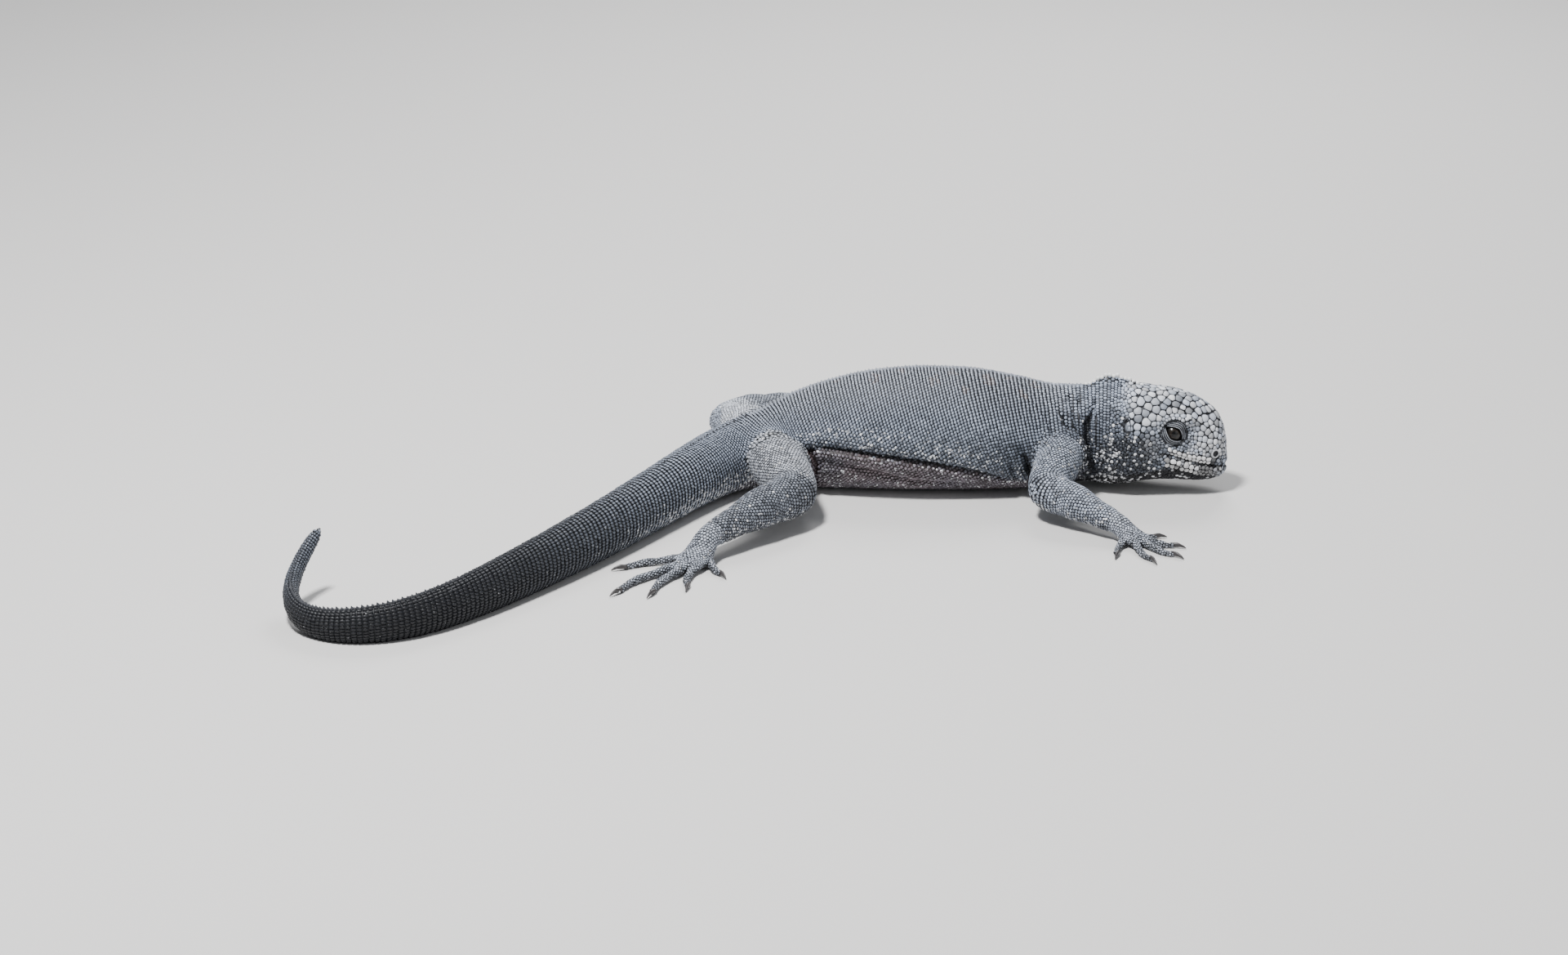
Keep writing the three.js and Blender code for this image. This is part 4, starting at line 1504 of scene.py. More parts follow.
        for point, size in zip(self.scales.joined("points"), self.scales.joined("sizes")):
            grid.setdefault(cell_of(*point), []).append((*point, size))
        offsets = [(i, j, k) for i in (-1, 0, 1) for j in (-1, 0, 1) for k in (-1, 0, 1)]
        order = np.argsort(-np.where(head, np.round(sizes, 1), 0), kind="stable")
        kept = []
        for i in order:
            if blocked[i]:
                continue
            x, y, z = points[i]
            size = sizes[i]
            u, v, w = cell_of(x, y, z)
            near = (other for a, b, c in offsets for other in grid.get((u + a, v + b, w + c), ()))
            if any(
                (px - x) ** 2 + (py - y) ** 2 + (pz - z) ** 2 < (self.ROOM * (size + other)) ** 2
                for px, py, pz, other in near
            ):
                continue
            kept.append(i)
            grid.setdefault((u, v, w), []).append((x, y, z, size))
        kept = np.array(kept)
        at_head = head[kept]
        self.add_loose(points[kept[at_head]], sizes[kept[at_head]], Region.HEAD)
        self.add_loose(points[kept[~at_head]], sizes[kept[~at_head]], Region.LIMB)

    def add_loose(self, points: np.ndarray, sizes: np.ndarray, region: Region) -> None:
        """Add scales that follow no row.

        Args:
            points: their roots.
            sizes: their spacings.
            region: where they grow.
        """
        stations = np.clip(SNOUT_X - points[:, 0], 0, 160)
        aft = self.line.direction(stations)
        self.scales.add(points, aft, sizes, stations, 0.25, region)


class ScaleBuilder:
    """Turns roots into raised scales, each cut to fit its neighbours."""

    NEAR = 12
    HEIGHTS = np.array([0.42, 0.44, 0.42, 0.38, 0.3])
    # Size, height share and shift towards the tail of each ring of a scale, from its foot up.
    LEVELS = ((1.0, -0.32, 0.0), (0.965, 0.5, 0.03), (0.66, 0.93, 0.1))
    # The higher the power, the sharper the corners where a scale meets its neighbours.
    POWER = 16.0
    LEAN = 0.34
    WIDEST = 0.66

    def __init__(self, scales: ScaleSet, tree: BVHTree, creases: np.ndarray) -> None:
        """Read the scales' roots and the skin's direction at each.

        Args:
            scales: the roots.
            tree: the skin, in build-frame millimetres.
            creases: how deep in a crease each triangle of the skin lies, 0 to 1.
        """
        self.points, self.sizes, self.regions = map(scales.joined, ("points", "sizes", "regions"))
        self.stations, self.turns, self.aft = map(scales.joined, ("stations", "turns", "aft"))
        self.random = np.random.default_rng(SEED + 1)
        count = len(self.points)
        self.faces = np.zeros(count, dtype=np.int64)
        normals = np.zeros((count, 3))
        for i, point in enumerate(self.points):
            _, normal, face, _ = tree.find_nearest(Vector(point))
            normals[i] = normal
            self.faces[i] = face
        self.nearest = tree_of(self.points)
        self.neighbours = self.find_neighbours()
        for _ in range(2):
            near = normals[self.neighbours[:, :6]]
            agree = (near @ normals[:, :, None])[:, :, 0] > 0.5
            normals = unit(normals + (near * agree[:, :, None]).sum(axis=1) * 0.5)
        self.normals = normals
        self.speck = self.random.random(count)
        self.creases = creases[self.faces]
        self.marks, self.dust, self.ridged = self.tones()
        self.high = self.heights()

    def find_neighbours(self) -> np.ndarray:
        """Find the nearest roots of each root.

        Returns:
            Their numbers, nearest first.
        """
        found = np.zeros((len(self.points), self.NEAR), dtype=np.int64)
        for i, point in enumerate(self.points):
            found[i] = [hit[1] for hit in self.nearest.find_n(Vector(point), self.NEAR + 1)][1:]
        return found

    def heights(self) -> np.ndarray:
        """Choose how far each scale stands out.

        Returns:
            Heights over the skin.
        """
        high = self.HEIGHTS[self.regions] * (0.55 + 0.45 * np.minimum(self.sizes, 2.0) / 1.2)
        return high * (1 - 0.45 * self.creases) * self.random.uniform(0.8, 1.2, len(self.points))

    def rings(self, members: np.ndarray, sides: int) -> tuple[np.ndarray, np.ndarray, np.ndarray]:
        """Work out the rings of points that make some of the scales.

        Args:
            members: the scales' numbers.
            sides: points round each.

        Returns:
            Points as scales by levels by sides by 3, the apexes, and the height share of every point, which
            sets how much painted shade it gets.
        """
        points, normals, sizes = self.points[members], self.normals[members], self.sizes[members]
        near = self.neighbours[members]
        head = self.regions[members] == Region.HEAD.value
        across = unit(np.cross(normals, self.aft[members]))
        along = np.cross(across, normals)
        offsets = self.points[near] - points[:, None, :]
        flat_x = np.einsum("nkj,nj->nk", offsets, along)
        flat_y = np.einsum("nkj,nj->nk", offsets, across)
        distance = np.maximum(np.hypot(flat_x, flat_y), 1e-3)
        agree = np.einsum("nkj,nj->nk", self.normals[near], normals) > 0.0
        share = sizes[:, None] / (sizes[:, None] + self.sizes[near])
        reach = distance * np.clip(share, 0.36, 0.64)
        turn = (np.arange(sides) + 0.5) / sides * 2 * np.pi
        spin = np.where(head, self.random.random(len(members)) * 6.28, 0)
        turn = turn[None, :] + spin[:, None]
        cos = np.cos(turn[:, :, None] - np.arctan2(flat_y, flat_x)[:, None, :])
        pull = np.where((cos > 0.05) & agree[:, None, :], np.maximum(cos, 0.05) / reach[:, None, :], 0.0)
        cap = 1 / (self.WIDEST * sizes)[:, None, None]
        pull = np.concatenate([pull, np.broadcast_to(cap, pull.shape[:2] + (1,))], axis=2)
        radius = (pull**self.POWER).sum(axis=2) ** (-1 / self.POWER)
        middle = radius.mean(axis=1)
        high = self.high[members][:, None]
        row = self.ridged[members][:, None]
        lean = np.where(head, 0.0, self.LEAN)
        made, rise = [], []
        for scale, lift, shift in self.LEVELS:
            size = (scale + 0.16 * head * (lift > 0.6))[:, None]
            x = radius * np.cos(turn) * size * (1 - 0.06 * row) + (middle * shift * (lean > 0))[:, None]
            y = radius * np.sin(turn) * size * (1 + 0.05 * row)
            tilt = lean[:, None] * x / middle[:, None] * 0.6
            z = high * (lift + tilt) if lift > 0 else np.full_like(x, lift)
            place = points[:, None, :] + x[..., None] * along[:, None] + y[..., None] * across[:, None]
            made.append(place + z[..., None] * normals[:, None])
            # Height shares for the painted shade: 0 at the foot, which is painted darkest. On ridged scales
            # the share also varies round the scale, painting light and shade on the keel.
            if lift < 0:
                rise.append(np.zeros_like(x))
            elif lift < 0.6:
                rise.append(0.5 + row * (0.45 - 0.95 * np.cos(turn) ** 2))
            else:
                rise.append(1 - row * 0.6 * np.maximum(0.0, -np.cos(turn)))
        apex = points + normals * high + along * (middle * 0.22 * (lean > 0))[:, None]
        rings = np.stack(made, axis=1)
        rings[..., 2] = np.maximum(rings[..., 2], FLOOR_GAP / 2)
        apex[:, 2] = np.maximum(apex[:, 2], FLOOR_GAP)
        shares = np.stack(rise, axis=1).reshape(len(members), -1)
        shares = np.concatenate([shares, np.ones((len(members), 1))], axis=1)
        return rings, apex, np.clip(shares, 0, 1)

    def tones(self) -> tuple[np.ndarray, np.ndarray, np.ndarray]:
        """Choose the markings of each scale by place, with painted shade in creases and under the head.

        Returns:
            Dark, warm, pale and brightness shares in four columns, then the dust on each scale and
            how far it bears a ridge.
        """
        at = self.stations
        side = np.where(self.turns > 0.5, 1 - self.turns, self.turns)
        x, y, height = self.points.T
        parts = [self.regions == region.value for region in Region]
        head, trunk, _, limb, _ = parts

        # Takes one value for each region, in the order of Region.
        def choose(*values) -> np.ndarray:
            return np.select(parts, values)

        below = side - between(FLANK_LINE, 1, at)
        under = ramp(-0.002, 0.02, below) * ramp(190, 150, at)
        low = ramp(-0.11, -0.04, below) * ramp(0.03, 0.0, below)
        flank = ramp(0.13, 0.25, side) * ramp(215, 150, at)
        back = ramp(0.17, 0.04, side) * ramp(178, 140, at) * ramp(45, 60, at)
        neck = ramp(66, 50, at) * ramp(0.08, 0.22, side)
        nape = ramp(34, 39, at) * ramp(34, 27, height)
        jowl = ramp(26, 20, height) * ramp(19, 28, at)
        throat = ramp(14, 10, height - 0.15 * (20 - at)) * ramp(1, 5, at)
        crown = ramp(22, 27.5, height) * ramp(38, 32, at)
        snout = ramp(18, 9, at) * ramp(11, 15, height)
        cheek = ramp(12.5, 15.5, height) * ramp(33, 26, at)
        line = between(MOUTH_LINE, 1, np.clip(at, 0, 24))
        band = head & (height > line + 0.6) & (height < line + 2.6) & (at < 19) & (at > 5)
        lower = head & (height < line - 0.7) & (height > line - 4.4) & (at < 21)
        shank = limb * ramp(37, 45, np.abs(y)) * (x < 20)
        thigh = limb & (np.abs(x - 2) < 24) & (height > 7)
        shaded = np.maximum(jowl, throat)

        ridged = choose(0.0, ramp(0.24, 0.12, side) * ramp(50, 70, at), 0.8, 0.0, 0.0)
        body = np.maximum.reduce([between(TAIL_DARKNESS, 1, at), 0.6 * flank, 0.74 * neck, 0.55 * under])
        # On the head, the jowl and throat are darkened as painted shade under the head.
        dark = choose(
            np.maximum.reduce([0.88 * jowl, throat, 0.68 * nape]),
            body,
            body,
            0.12 + 0.46 * shank + 0.5 * ramp(9, 3, height),
            0.1 + 0.4 * ramp(3, 1, height),
        )
        warm = np.where(at < 62, under * 0.3, under)
        warm = choose(0.12 * band, warm, warm, 0.0, 0.0)
        uneven = self.random.uniform(0.25, 1.25, len(at))
        face = np.maximum.reduce([0.58 * crown, 0.72 * snout, 0.16 * cheek]) * uneven
        face = np.where(lower, np.where(self.sizes > 1.45, 0.95, 0.3), np.where(band, 1.0, face))
        pale = choose(face, 0.2 * back, 0.2 * back, 0.06 + 0.32 * thigh * (1 - shank), 0.2)
        fleck = self.speck > 1 - choose(0.12 * shaded + 0.04 * nape, 0.0, 0.0, 0.02, 0.02)
        dark = np.where(fleck, dark * 0.2, dark)
        pale = np.where(fleck, 0.8, pale)
        dust = choose(
            0.34 * shaded + 0.3 * nape,
            0.1 + 0.52 * low + 0.44 * under,
            0.16 + 0.7 * ramp(0.18, 0.32, side) * ramp(300, 190, at),
            0.35 + 0.35 * ramp(11, 6, height),
            0.25,
        )
        dust = np.clip(dust, 0, 1) * (1 - self.creases)
        tan = np.zeros(len(at), dtype=bool)
        for spot, turn, reach in TAN_SPOTS:
            around = (at - spot) ** 2 + ((side - turn) * 110) ** 2
            tan |= trunk & (around < reach**2) & (self.random.random(len(at)) < 0.6)
        warm = np.where(tan, 0.9, warm)
        pale = np.where(tan, 0.4, pale)
        # Painted shade: scales in skin folds and in the mouth's groove are darkened by their crease depth.
        dark = np.maximum(np.where(tan, 0.0, dark), 0.95 * self.creases)
        even = 0.75 * ridged
        vary = np.where(band, 1.0, self.random.random(len(at)) * (1 - even) + 0.55 * even)
        return np.clip(np.stack([dark, warm, pale, vary], axis=1), 0, 1), dust, ridged


class Patches:
    """The bake map: a patch for each scale at its root's place on the skin's unwrap."""

    SIZE = 0.003

    def __init__(self, skin: bpy.types.Object, tree_faces: np.ndarray) -> None:
        """Unwrap the skin.

        Args:
            skin: the skin.
            tree_faces: the polygon of each triangle in the skin's tree.
        """
        for other in bpy.context.selected_objects:
            other.select_set(False)
        skin.data.uv_layers.new(name=BAKE_MAP)
        bpy.context.view_layer.objects.active = skin
        skin.select_set(True)
        bpy.ops.object.mode_set(mode="EDIT")
        bpy.ops.mesh.select_all(action="SELECT")
        bpy.ops.uv.smart_project(angle_limit=math.radians(66), island_margin=0.002)
        bpy.ops.object.mode_set(mode="OBJECT")
        spots = read(skin.data.uv_layers[BAKE_MAP].data, "uv", 2)
        self.centres = spots[read(skin.data.polygons, "loop_start", 1, np.int64)][tree_faces]


class Materials:
    """Procedural materials."""

    def __init__(self) -> None:
        """Make the shared group of markings and painted shade."""
        self.markings = self.make_markings_and_shade()

    @staticmethod
    def group_of(name: str, outputs: dict[str, str]) -> bpy.types.NodeTree:
        """Make an empty group.

        Args:
            name: its name.
            outputs: the name and socket type of each output.

        Returns:
            The group.
        """
        tree = bpy.data.node_groups.new(name, "ShaderNodeTree")
        for label, kind in outputs.items():
            tree.interface.new_socket(name=label, in_out="OUTPUT", socket_type=kind)
        return tree

    @staticmethod
    def feed(tree, node: bpy.types.Node, inputs: dict) -> None:
        """Set a node's inputs.

        Args:
            tree: the node tree.
            node: the node.
            inputs: a number, colour or socket for each input's name or number.
        """
        for key, value in inputs.items():
            if isinstance(value, bpy.types.NodeSocket):
                tree.links.new(value, node.inputs[key])
            else:
                node.inputs[key].default_value = (*value, 1.0) if isinstance(value, tuple) else value

    def mix(self, tree, first, second, factor):
        """Mix two colours.

        Args:
            tree: the node tree.
            first: a colour or socket.
            second: a colour or socket.
            factor: a number or socket.

        Returns:
            The result's socket.
        """
        node = tree.nodes.new("ShaderNodeMix")
        node.data_type = "RGBA"
        self.feed(tree, node, {6: first, 7: second, 0: factor})
        return node.outputs[2]

    def math(self, tree, operation: str, first, second=0.0, third=0.0):
        """Add a maths node.

        Args:
            tree: the node tree.
            operation: its operation.
            first: a number or socket.
            second: a number or socket.
            third: a number or socket.

        Returns:
            The result's socket.
        """
        node = tree.nodes.new("ShaderNodeMath")
        node.operation = operation
        self.feed(tree, node, {0: first, 1: second, 2: third})
        return node.outputs[0]

    @staticmethod
    def attribute(tree, name: str) -> bpy.types.Node:
        """Read an attribute of the mesh.

        Args:
            tree: the node tree.
            name: the attribute's name.

        Returns:
            The node.
        """
        node = tree.nodes.new("ShaderNodeAttribute")
        node.attribute_name = name
        return node

    def relief(self, tree, shader: bpy.types.Node, height, strength: float) -> None:
        """Add a fine relief to a shader.

        Args:
            tree: the node tree.
            shader: the shader.
            height: the socket of the relief's height.
            strength: its strength.
        """
        node = tree.nodes.new("ShaderNodeBump")
        self.feed(tree, node, {"Strength": strength, "Distance": 0.0001, "Height": height})
        self.feed(tree, shader, {"Normal": node.outputs[0]})

    def noise(self, tree, scale: float, detail: float = 3.0):
        """Add noise on object coordinates.

        Args:
            tree: the node tree.
            scale: its scale per metre.
            detail: its detail.

        Returns:
            The noise value's socket.
        """
        place = tree.nodes.new("ShaderNodeTexCoord")
        node = tree.nodes.new("ShaderNodeTexNoise")
        self.feed(tree, node, {"Scale": scale, "Detail": detail, "Vector": place.outputs["Object"]})
        return node.outputs["Fac"]

    def make_markings_and_shade(self) -> bpy.types.NodeTree:
        """Make the markings and the painted shade between scales that the skin and every scale share.

        Returns:
            The group, with a colour, a roughness and a bump height.
        """
        outputs = {"Color": "NodeSocketColor", "Roughness": "NodeSocketFloat", "Height": "NodeSocketFloat"}
        tree = self.group_of("iguana_markings_and_shade", outputs)
        tones = self.attribute(tree, "tones")
        split = tree.nodes.new("ShaderNodeSeparateColor")
        tree.links.new(tones.outputs["Color"], split.inputs[0])
        dark, warm, pale = split.outputs
        speck = tones.outputs["Alpha"]
        lift = self.attribute(tree, "rise").outputs["Fac"]
        dust = self.attribute(tree, "dust").outputs["Fac"]
        blotch = self.noise(tree, 70, 5)
        grain = self.noise(tree, 1100, 2)
        top = self.mix(tree, (0.27, 0.315, 0.405), (0.54, 0.61, 0.75), blotch)
        top = self.mix(tree, top, (0.007, 0.0075, 0.011), dark)
        fade = self.math(tree, "MULTIPLY_ADD", blotch, 0.9, 0.05)
        top = self.mix(tree, top, (0.21, 0.14, 0.145), self.math(tree, "MULTIPLY", warm, fade))
        top = self.mix(tree, top, (0.86, 0.86, 0.87), pale)
        vary = self.math(tree, "MULTIPLY_ADD", speck, 0.9, 0.32)
        top = self.mix(tree, (0.0, 0.0, 0.0), top, vary)
        # Painted shade: the colour falls to a near-black seam shade at each scale's foot and between scales.
        # It rises to the full tone at the scale's top by the height share.
        seam_shade = self.mix(tree, (0.006, 0.007, 0.010), (0.02, 0.012, 0.012), warm)
        depth = self.math(tree, "POWER", lift, 2.6)
        depth = self.math(tree, "MULTIPLY_ADD", self.math(tree, "SUBTRACT", grain, 0.5), 0.5, depth)
        colour = self.mix(tree, seam_shade, top, depth)
        edge = self.math(tree, "MULTIPLY_ADD", dust, -0.26, 0.74)
        salt = self.math(tree, "SUBTRACT", self.noise(tree, 900, 3), edge)
        salt = self.math(tree, "MULTIPLY", self.math(tree, "MULTIPLY", salt, 14.0), lift)
        colour = self.mix(tree, colour, (0.84, 0.85, 0.88), salt)
        rough = self.math(tree, "MULTIPLY_ADD", grain, 0.3, 0.38)
        out = tree.nodes.new("NodeGroupOutput")
        self.feed(tree, out, {"Color": colour, "Roughness": rough, "Height": grain})
        return tree

    @staticmethod
    def blank(name: str) -> tuple[bpy.types.Material, bpy.types.Node]:
        """Make a material.

        Args:
            name: its name.

        Returns:
            The material and its shader node.
        """
        made = bpy.data.materials.new(name)
        made.use_nodes = True
        return made, made.node_tree.nodes["Principled BSDF"]

    def skin(self, name: str, bump: float) -> bpy.types.Material:
        """Make the skin's or the scales' material.

        Args:
            name: its name.
            bump: strength of the fine relief.

        Returns:
            The material.
        """
        made, shader = self.blank(name)
        tree = made.node_tree
        group = tree.nodes.new("ShaderNodeGroup")
        group.node_tree = self.markings
        colour, rough, height = group.outputs
        self.relief(tree, shader, height, bump)
        self.feed(tree, shader, {"Base Color": colour, "Roughness": rough, "Specular IOR Level": 0.4})
        return made

    def horn(self, name: str, light: tuple, dark: tuple) -> bpy.types.Material:
        """Make a horn material for claws and crest.

        Args:
            name: its name.
            light: one colour.
            dark: the other.

        Returns:
            The material.
        """
        made, shader = self.blank(name)
        tree = made.node_tree
        colour = self.mix(tree, light, dark, self.noise(tree, 420, 3))
        self.relief(tree, shader, self.noise(tree, 1500, 2), 0.25)
        self.feed(tree, shader, {"Base Color": colour, "Roughness": 0.42})
        return made

    def eye(self) -> bpy.types.Material:
        """Make the eye's material: a dark iris round a darker pupil.

        Returns:
            The material.
        """
        made, shader = self.blank("eye")
        tree = made.node_tree
        colours = tree.nodes.new("ShaderNodeValToRGB")
        pupil = (0.001, 0.001, 0.001)
        stops = ((0.0, pupil), (0.36, pupil), (0.42, (0.018, 0.012, 0.008)))
        stops += ((0.8, (0.011, 0.008, 0.006)), (1.0, (0.003, 0.003, 0.003)))
        marks = colours.color_ramp.elements
        for i, (place, colour) in enumerate(stops):
            stop = marks[i] if i < 2 else marks.new(place)
            stop.position = place
            stop.color = (*colour, 1.0)
        tree.links.new(self.attribute(tree, "gaze").outputs["Fac"], colours.inputs[0])
        fleck = self.math(tree, "MULTIPLY", self.noise(tree, 2600), 0.5)
        iris = self.mix(tree, colours.outputs[0], (0.0, 0.0, 0.0), fleck)
        self.feed(tree, shader, {"Base Color": iris, "Roughness": 0.3, "Specular IOR Level": 0.2})
        self.feed(tree, shader, {"Coat Weight": 0.45, "Coat Roughness": 0.05})
        return made

    def plain(self, name: str, colour: tuple, rough: float) -> bpy.types.Material:
        """Make a plain material for the floor.

        Args:
            name: its name.
            colour: its colour.
            rough: its roughness.

        Returns:
            The material.
        """
        made, shader = self.blank(name)
        self.feed(made.node_tree, shader, {"Base Color": colour, "Roughness": rough})
        return made


class Iguana:
    """Builds every piece of the animal."""

    FLESH = ["head", "neck", "torso", "tail_base", "tail_middle", "tail_end", "tail_tip"]
    LIMB_NAMES = ("thigh", "shank", "hind_foot", "upper_arm", "forearm", "fore_foot")
    # Name and points round each scale.
    CHUNKS = {
        Region.HEAD: ("head_scales", 11),
        Region.TRUNK: ("trunk_scales", 8),
        Region.TAIL: ("tail_scales", 8),
        Region.LIMB: ("limb_scales", 7),
        Region.FOOT: ("foot_scales", 7),
    }
    # Name, start, end, spacing and the light and dark colours of each run of the crest.
    CRESTS = (
        ("nape_crest", 29.5, 49.0, 1.35, (0.93, 0.93, 0.9), (0.66, 0.67, 0.68)),
        ("back_crest", 50.0, TAIL_FROM, 1.25, (0.5, 0.53, 0.58), (0.2, 0.22, 0.27)),
        ("tail_crest", TAIL_FROM + 0.5, LENGTH - 6, 1.6, (0.09, 0.095, 0.11), (0.02, 0.021, 0.026)),
    )

    def __init__(self) -> None:
        """Set up the shared parts."""
        self.line = BodyLine()
        self.place = Placer(self.line)
        self.materials = Materials()
        self.scale_look = self.materials.skin("scale_look", 0.5)

    @staticmethod
    def dress(piece: bpy.types.Object, material: bpy.types.Material, slot: str = "skin") -> None:
        """Give a piece its material and fix it to the body.

        Args:
            piece: the piece.
            material: its material.
            slot: not used.
        """
        piece.data.materials.clear()
        piece.data.materials.append(material)
        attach(piece, "root")

    def keep(self, name: str, made: Surface, material=None, slot: str = "skin", **marks) -> bpy.types.Object:
        """Make a piece and dress it.

        Args:
            name: its name.
            made: its surface.
            material: its material, if not the scales' own.
            slot: not used.
            marks: what its material reads at every vertex.

        Returns:
            The piece.
        """
        piece = self.place.object_of(name, made.all_vertices(), made.faces)
        mark(piece.data, **marks)
        self.dress(piece, material or self.scale_look, slot)
        return piece

    def build(self) -> None:
        """Build all pieces in order."""
        wrap = Skin(self.line, self.place)
        skin = wrap.build()
        triangles, corners, owner = self.triangles_of(skin.data)
        tree = BVHTree.FromPolygons(triangles[0].tolist(), triangles[1].tolist())
        planner = ScalePlanner(self.line, tree)
        planner.grow_body()
        planner.grow_limbs()
        planner.grow_lips()
        spans = corners[:, 1:] - corners[:, :1]
        planner.fill(np.linalg.norm(np.cross(spans[:, 0], spans[:, 1]), axis=1), corners)
        LOG.info("%d scales", sum(len(part) for part in planner.scales.points))
        builder = ScaleBuilder(planner.scales, tree, wrap.creases[triangles[1][:, 0]])
        self.add_scales(builder, Patches(skin, owner))
        self.tone_skin(skin.data, builder)
        flesh = self.FLESH + [f"{name}_{side}" for name in self.LIMB_NAMES for side in SIDES]
        self.dress(skin, self.materials.skin("skin_look", 0.4))
        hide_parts(*flesh)
        self.add_crest()
        self.add_claws()
        self.add_eyes()
        self.add_lids(tree)
        self.add_hollows("nostril", NOSTRIL, NOSTRIL_RINGS, 36, 0.5, 0.04)
        self.add_hollows("ear_drum", EAR, EAR_RINGS, 40, 0.6)

    def triangles_of(self, mesh: bpy.types.Mesh):
        """Read a mesh as triangles in build-frame millimetres.

        Args:
            mesh: the mesh.

        Returns:
            Vertices and triangles, triangle corners, and each triangle's polygon.
        """
        mesh.calc_loop_triangles()
        points = self.place.from_scene(mesh)
        tri = read(mesh.loop_triangles, "vertices", 3, np.int64)
        return (points, tri), points[tri], read(mesh.loop_triangles, "polygon_index", 1, np.int64)

    def add_scales(self, builder: ScaleBuilder, patches: Patches) -> None:
        """Make the scale pieces.

        Args:
            builder: works out the scales.
            patches: gives the bake map's places.
        """
        for region, (name, sides) in self.CHUNKS.items():
            members = np.nonzero(builder.regions == region.value)[0]
            limit = PIECE_FACES // (5 * sides)
            for part, first in enumerate(range(0, len(members), limit)):
                title = name if part == 0 else f"{name}_{part + 1}"
                self.add_chunk(title, sides, members[first : first + limit], builder, patches)

    def add_chunk(self, title: str, sides: int, members: np.ndarray, builder: ScaleBuilder, patches) -> None:
        """Make one piece of scales.

        Args:
            title: the piece's name.
            sides: points round each scale.
            members: the scales' numbers.
            builder: works out the scales.
            patches: gives the bake map's places.
        """
        rings, apex, rise = builder.rings(members, sides)
        count = len(members)
        per = 3 * sides + 1
        tops = np.array([(2 * sides + j, 2 * sides + (j + 1) % sides, 3 * sides) for j in range(sides)])
        vertices = np.concatenate([rings.reshape(count, -1, 3), apex[:, None]], axis=1)
        base = (np.arange(count) * per)[:, None, None]
        quads = (ring_quads(3, sides)[None] + base).reshape(-1, 4)
        tris = (tops[None] + base).reshape(-1, 3)
        piece = self.place.object_of(title, vertices.reshape(-1, 3), quads.tolist() + tris.tolist())
        mesh = piece.data
        tones, dust = builder.marks[members], builder.dust[members]
        mark(mesh, tones=np.repeat(tones, per, axis=0), rise=rise, dust=np.repeat(dust, per))
        ring = np.stack([np.cos(circle(sides)), np.sin(circle(sides))], axis=1)
        spots = np.concatenate([ring * 0.5, ring * 0.42, ring * 0.25, np.zeros((1, 2))])
        uv = patches.centres[builder.faces[members]][:, None, :] + spots[None] * Patches.SIZE
        loops = read(mesh.loops, "vertex_index", 1, np.int64)
        mesh.uv_layers.new(name=BAKE_MAP).data.foreach_set("uv", uv.reshape(-1, 2)[loops].ravel())
        self.dress(piece, self.scale_look)

    def tone_skin(self, mesh: bpy.types.Mesh, builder: ScaleBuilder) -> None:
        """Give the skin the markings of its nearest scales, and painted shade between them.

        Args:
            mesh: the skin's mesh.
            builder: holds the scales.
        """
        found = [builder.nearest.find(Vector(point))[1:] for point in self.place.from_scene(mesh)]
        nearest = np.array([number for number, _ in found])
        bare = np.array([away for _, away in found]) > 1.6
        # Painted shade: the skin between scales takes a low height share, so it is painted with the dark
        # seam shade. Bare skin is painted a little less dark.
        rise = np.where(bare, 0.35, 0.1)
        mark(mesh, tones=builder.marks[nearest], rise=rise, dust=builder.dust[nearest])

    def add_crest(self) -> None:
        """Make the beads of the nape and the teeth along the back and tail."""
        for name, start, end, step, light, dark in self.CRESTS:
            made = Surface()
            for i, at in enumerate(np.arange(start, end, step)):
                height = float(between(CREST_HEIGHTS, 1, at)) * (1 + 0.13 * math.sin(i * 2.4))
                self.add_spine(made, float(at), height, step, name == "nape_crest")
            self.keep(name, made, self.materials.horn(f"{name}_look", light, dark))

    def add_spine(self, made: Surface, at: float, height: float, step: float, nape: bool) -> None:
        """Add one crest spine.

        Args:
            made: what it is added to.
            at: distance from the snout.
            height: how high it stands.
            step: spacing of the spines.
            nape: whether it is a rounded bead of the nape.
        """
        _, back, left, up = self.line.frames(at)
        root = self.line.points(at, 0.0, -COAT_DEPTH)
        turns = circle(10)
        profile = [(-0.8, 1.0), (0.05, 1.0), (0.45, 0.66), (0.8, 0.3), (0.98, 0.08)]
        if nape:
            ball = min(0.74, height * 0.5)
            profile = [(-0.8, 0.7), (0.05, 0.66)]
            for tilt in (2.2, 1.75, 1.3, 0.85, 0.4):
                profile.append((1 - ball / height * (1 - math.cos(tilt)), math.sin(tilt)))
        thick, lean = (0.76, 0.12) if nape else (0.32, 0.5)
        rings = []
        for rise, size in profile:
            tall = rise * height if rise > 0 else rise
            middle = root + up * tall + back * max(0.0, rise) * height * lean
            ring = np.outer(np.cos(turns) * step * 0.56 * size, back)
            rings.append(middle + (ring + np.outer(np.sin(turns) * thick * size, left)))
        made.add_rings(np.array(rings))

    def add_claws(self) -> None:
        """Make the claws, one piece for each foot."""
        look = self.materials.horn("claw_look", (0.06, 0.055, 0.055), (0.02, 0.018, 0.02))
        for name, limb in LIMBS.items():
            made = Surface()
            for plan in limb.digits:
                _, claw = digit_parts(limb, plan, 0.0)
                rings = tube_rings(claw, 10, 12)
                rings[..., 2] = np.maximum(rings[..., 2], FLOOR_GAP)
                made.add_rings(rings)
            self.keep(f"claws_{name}", made, look)

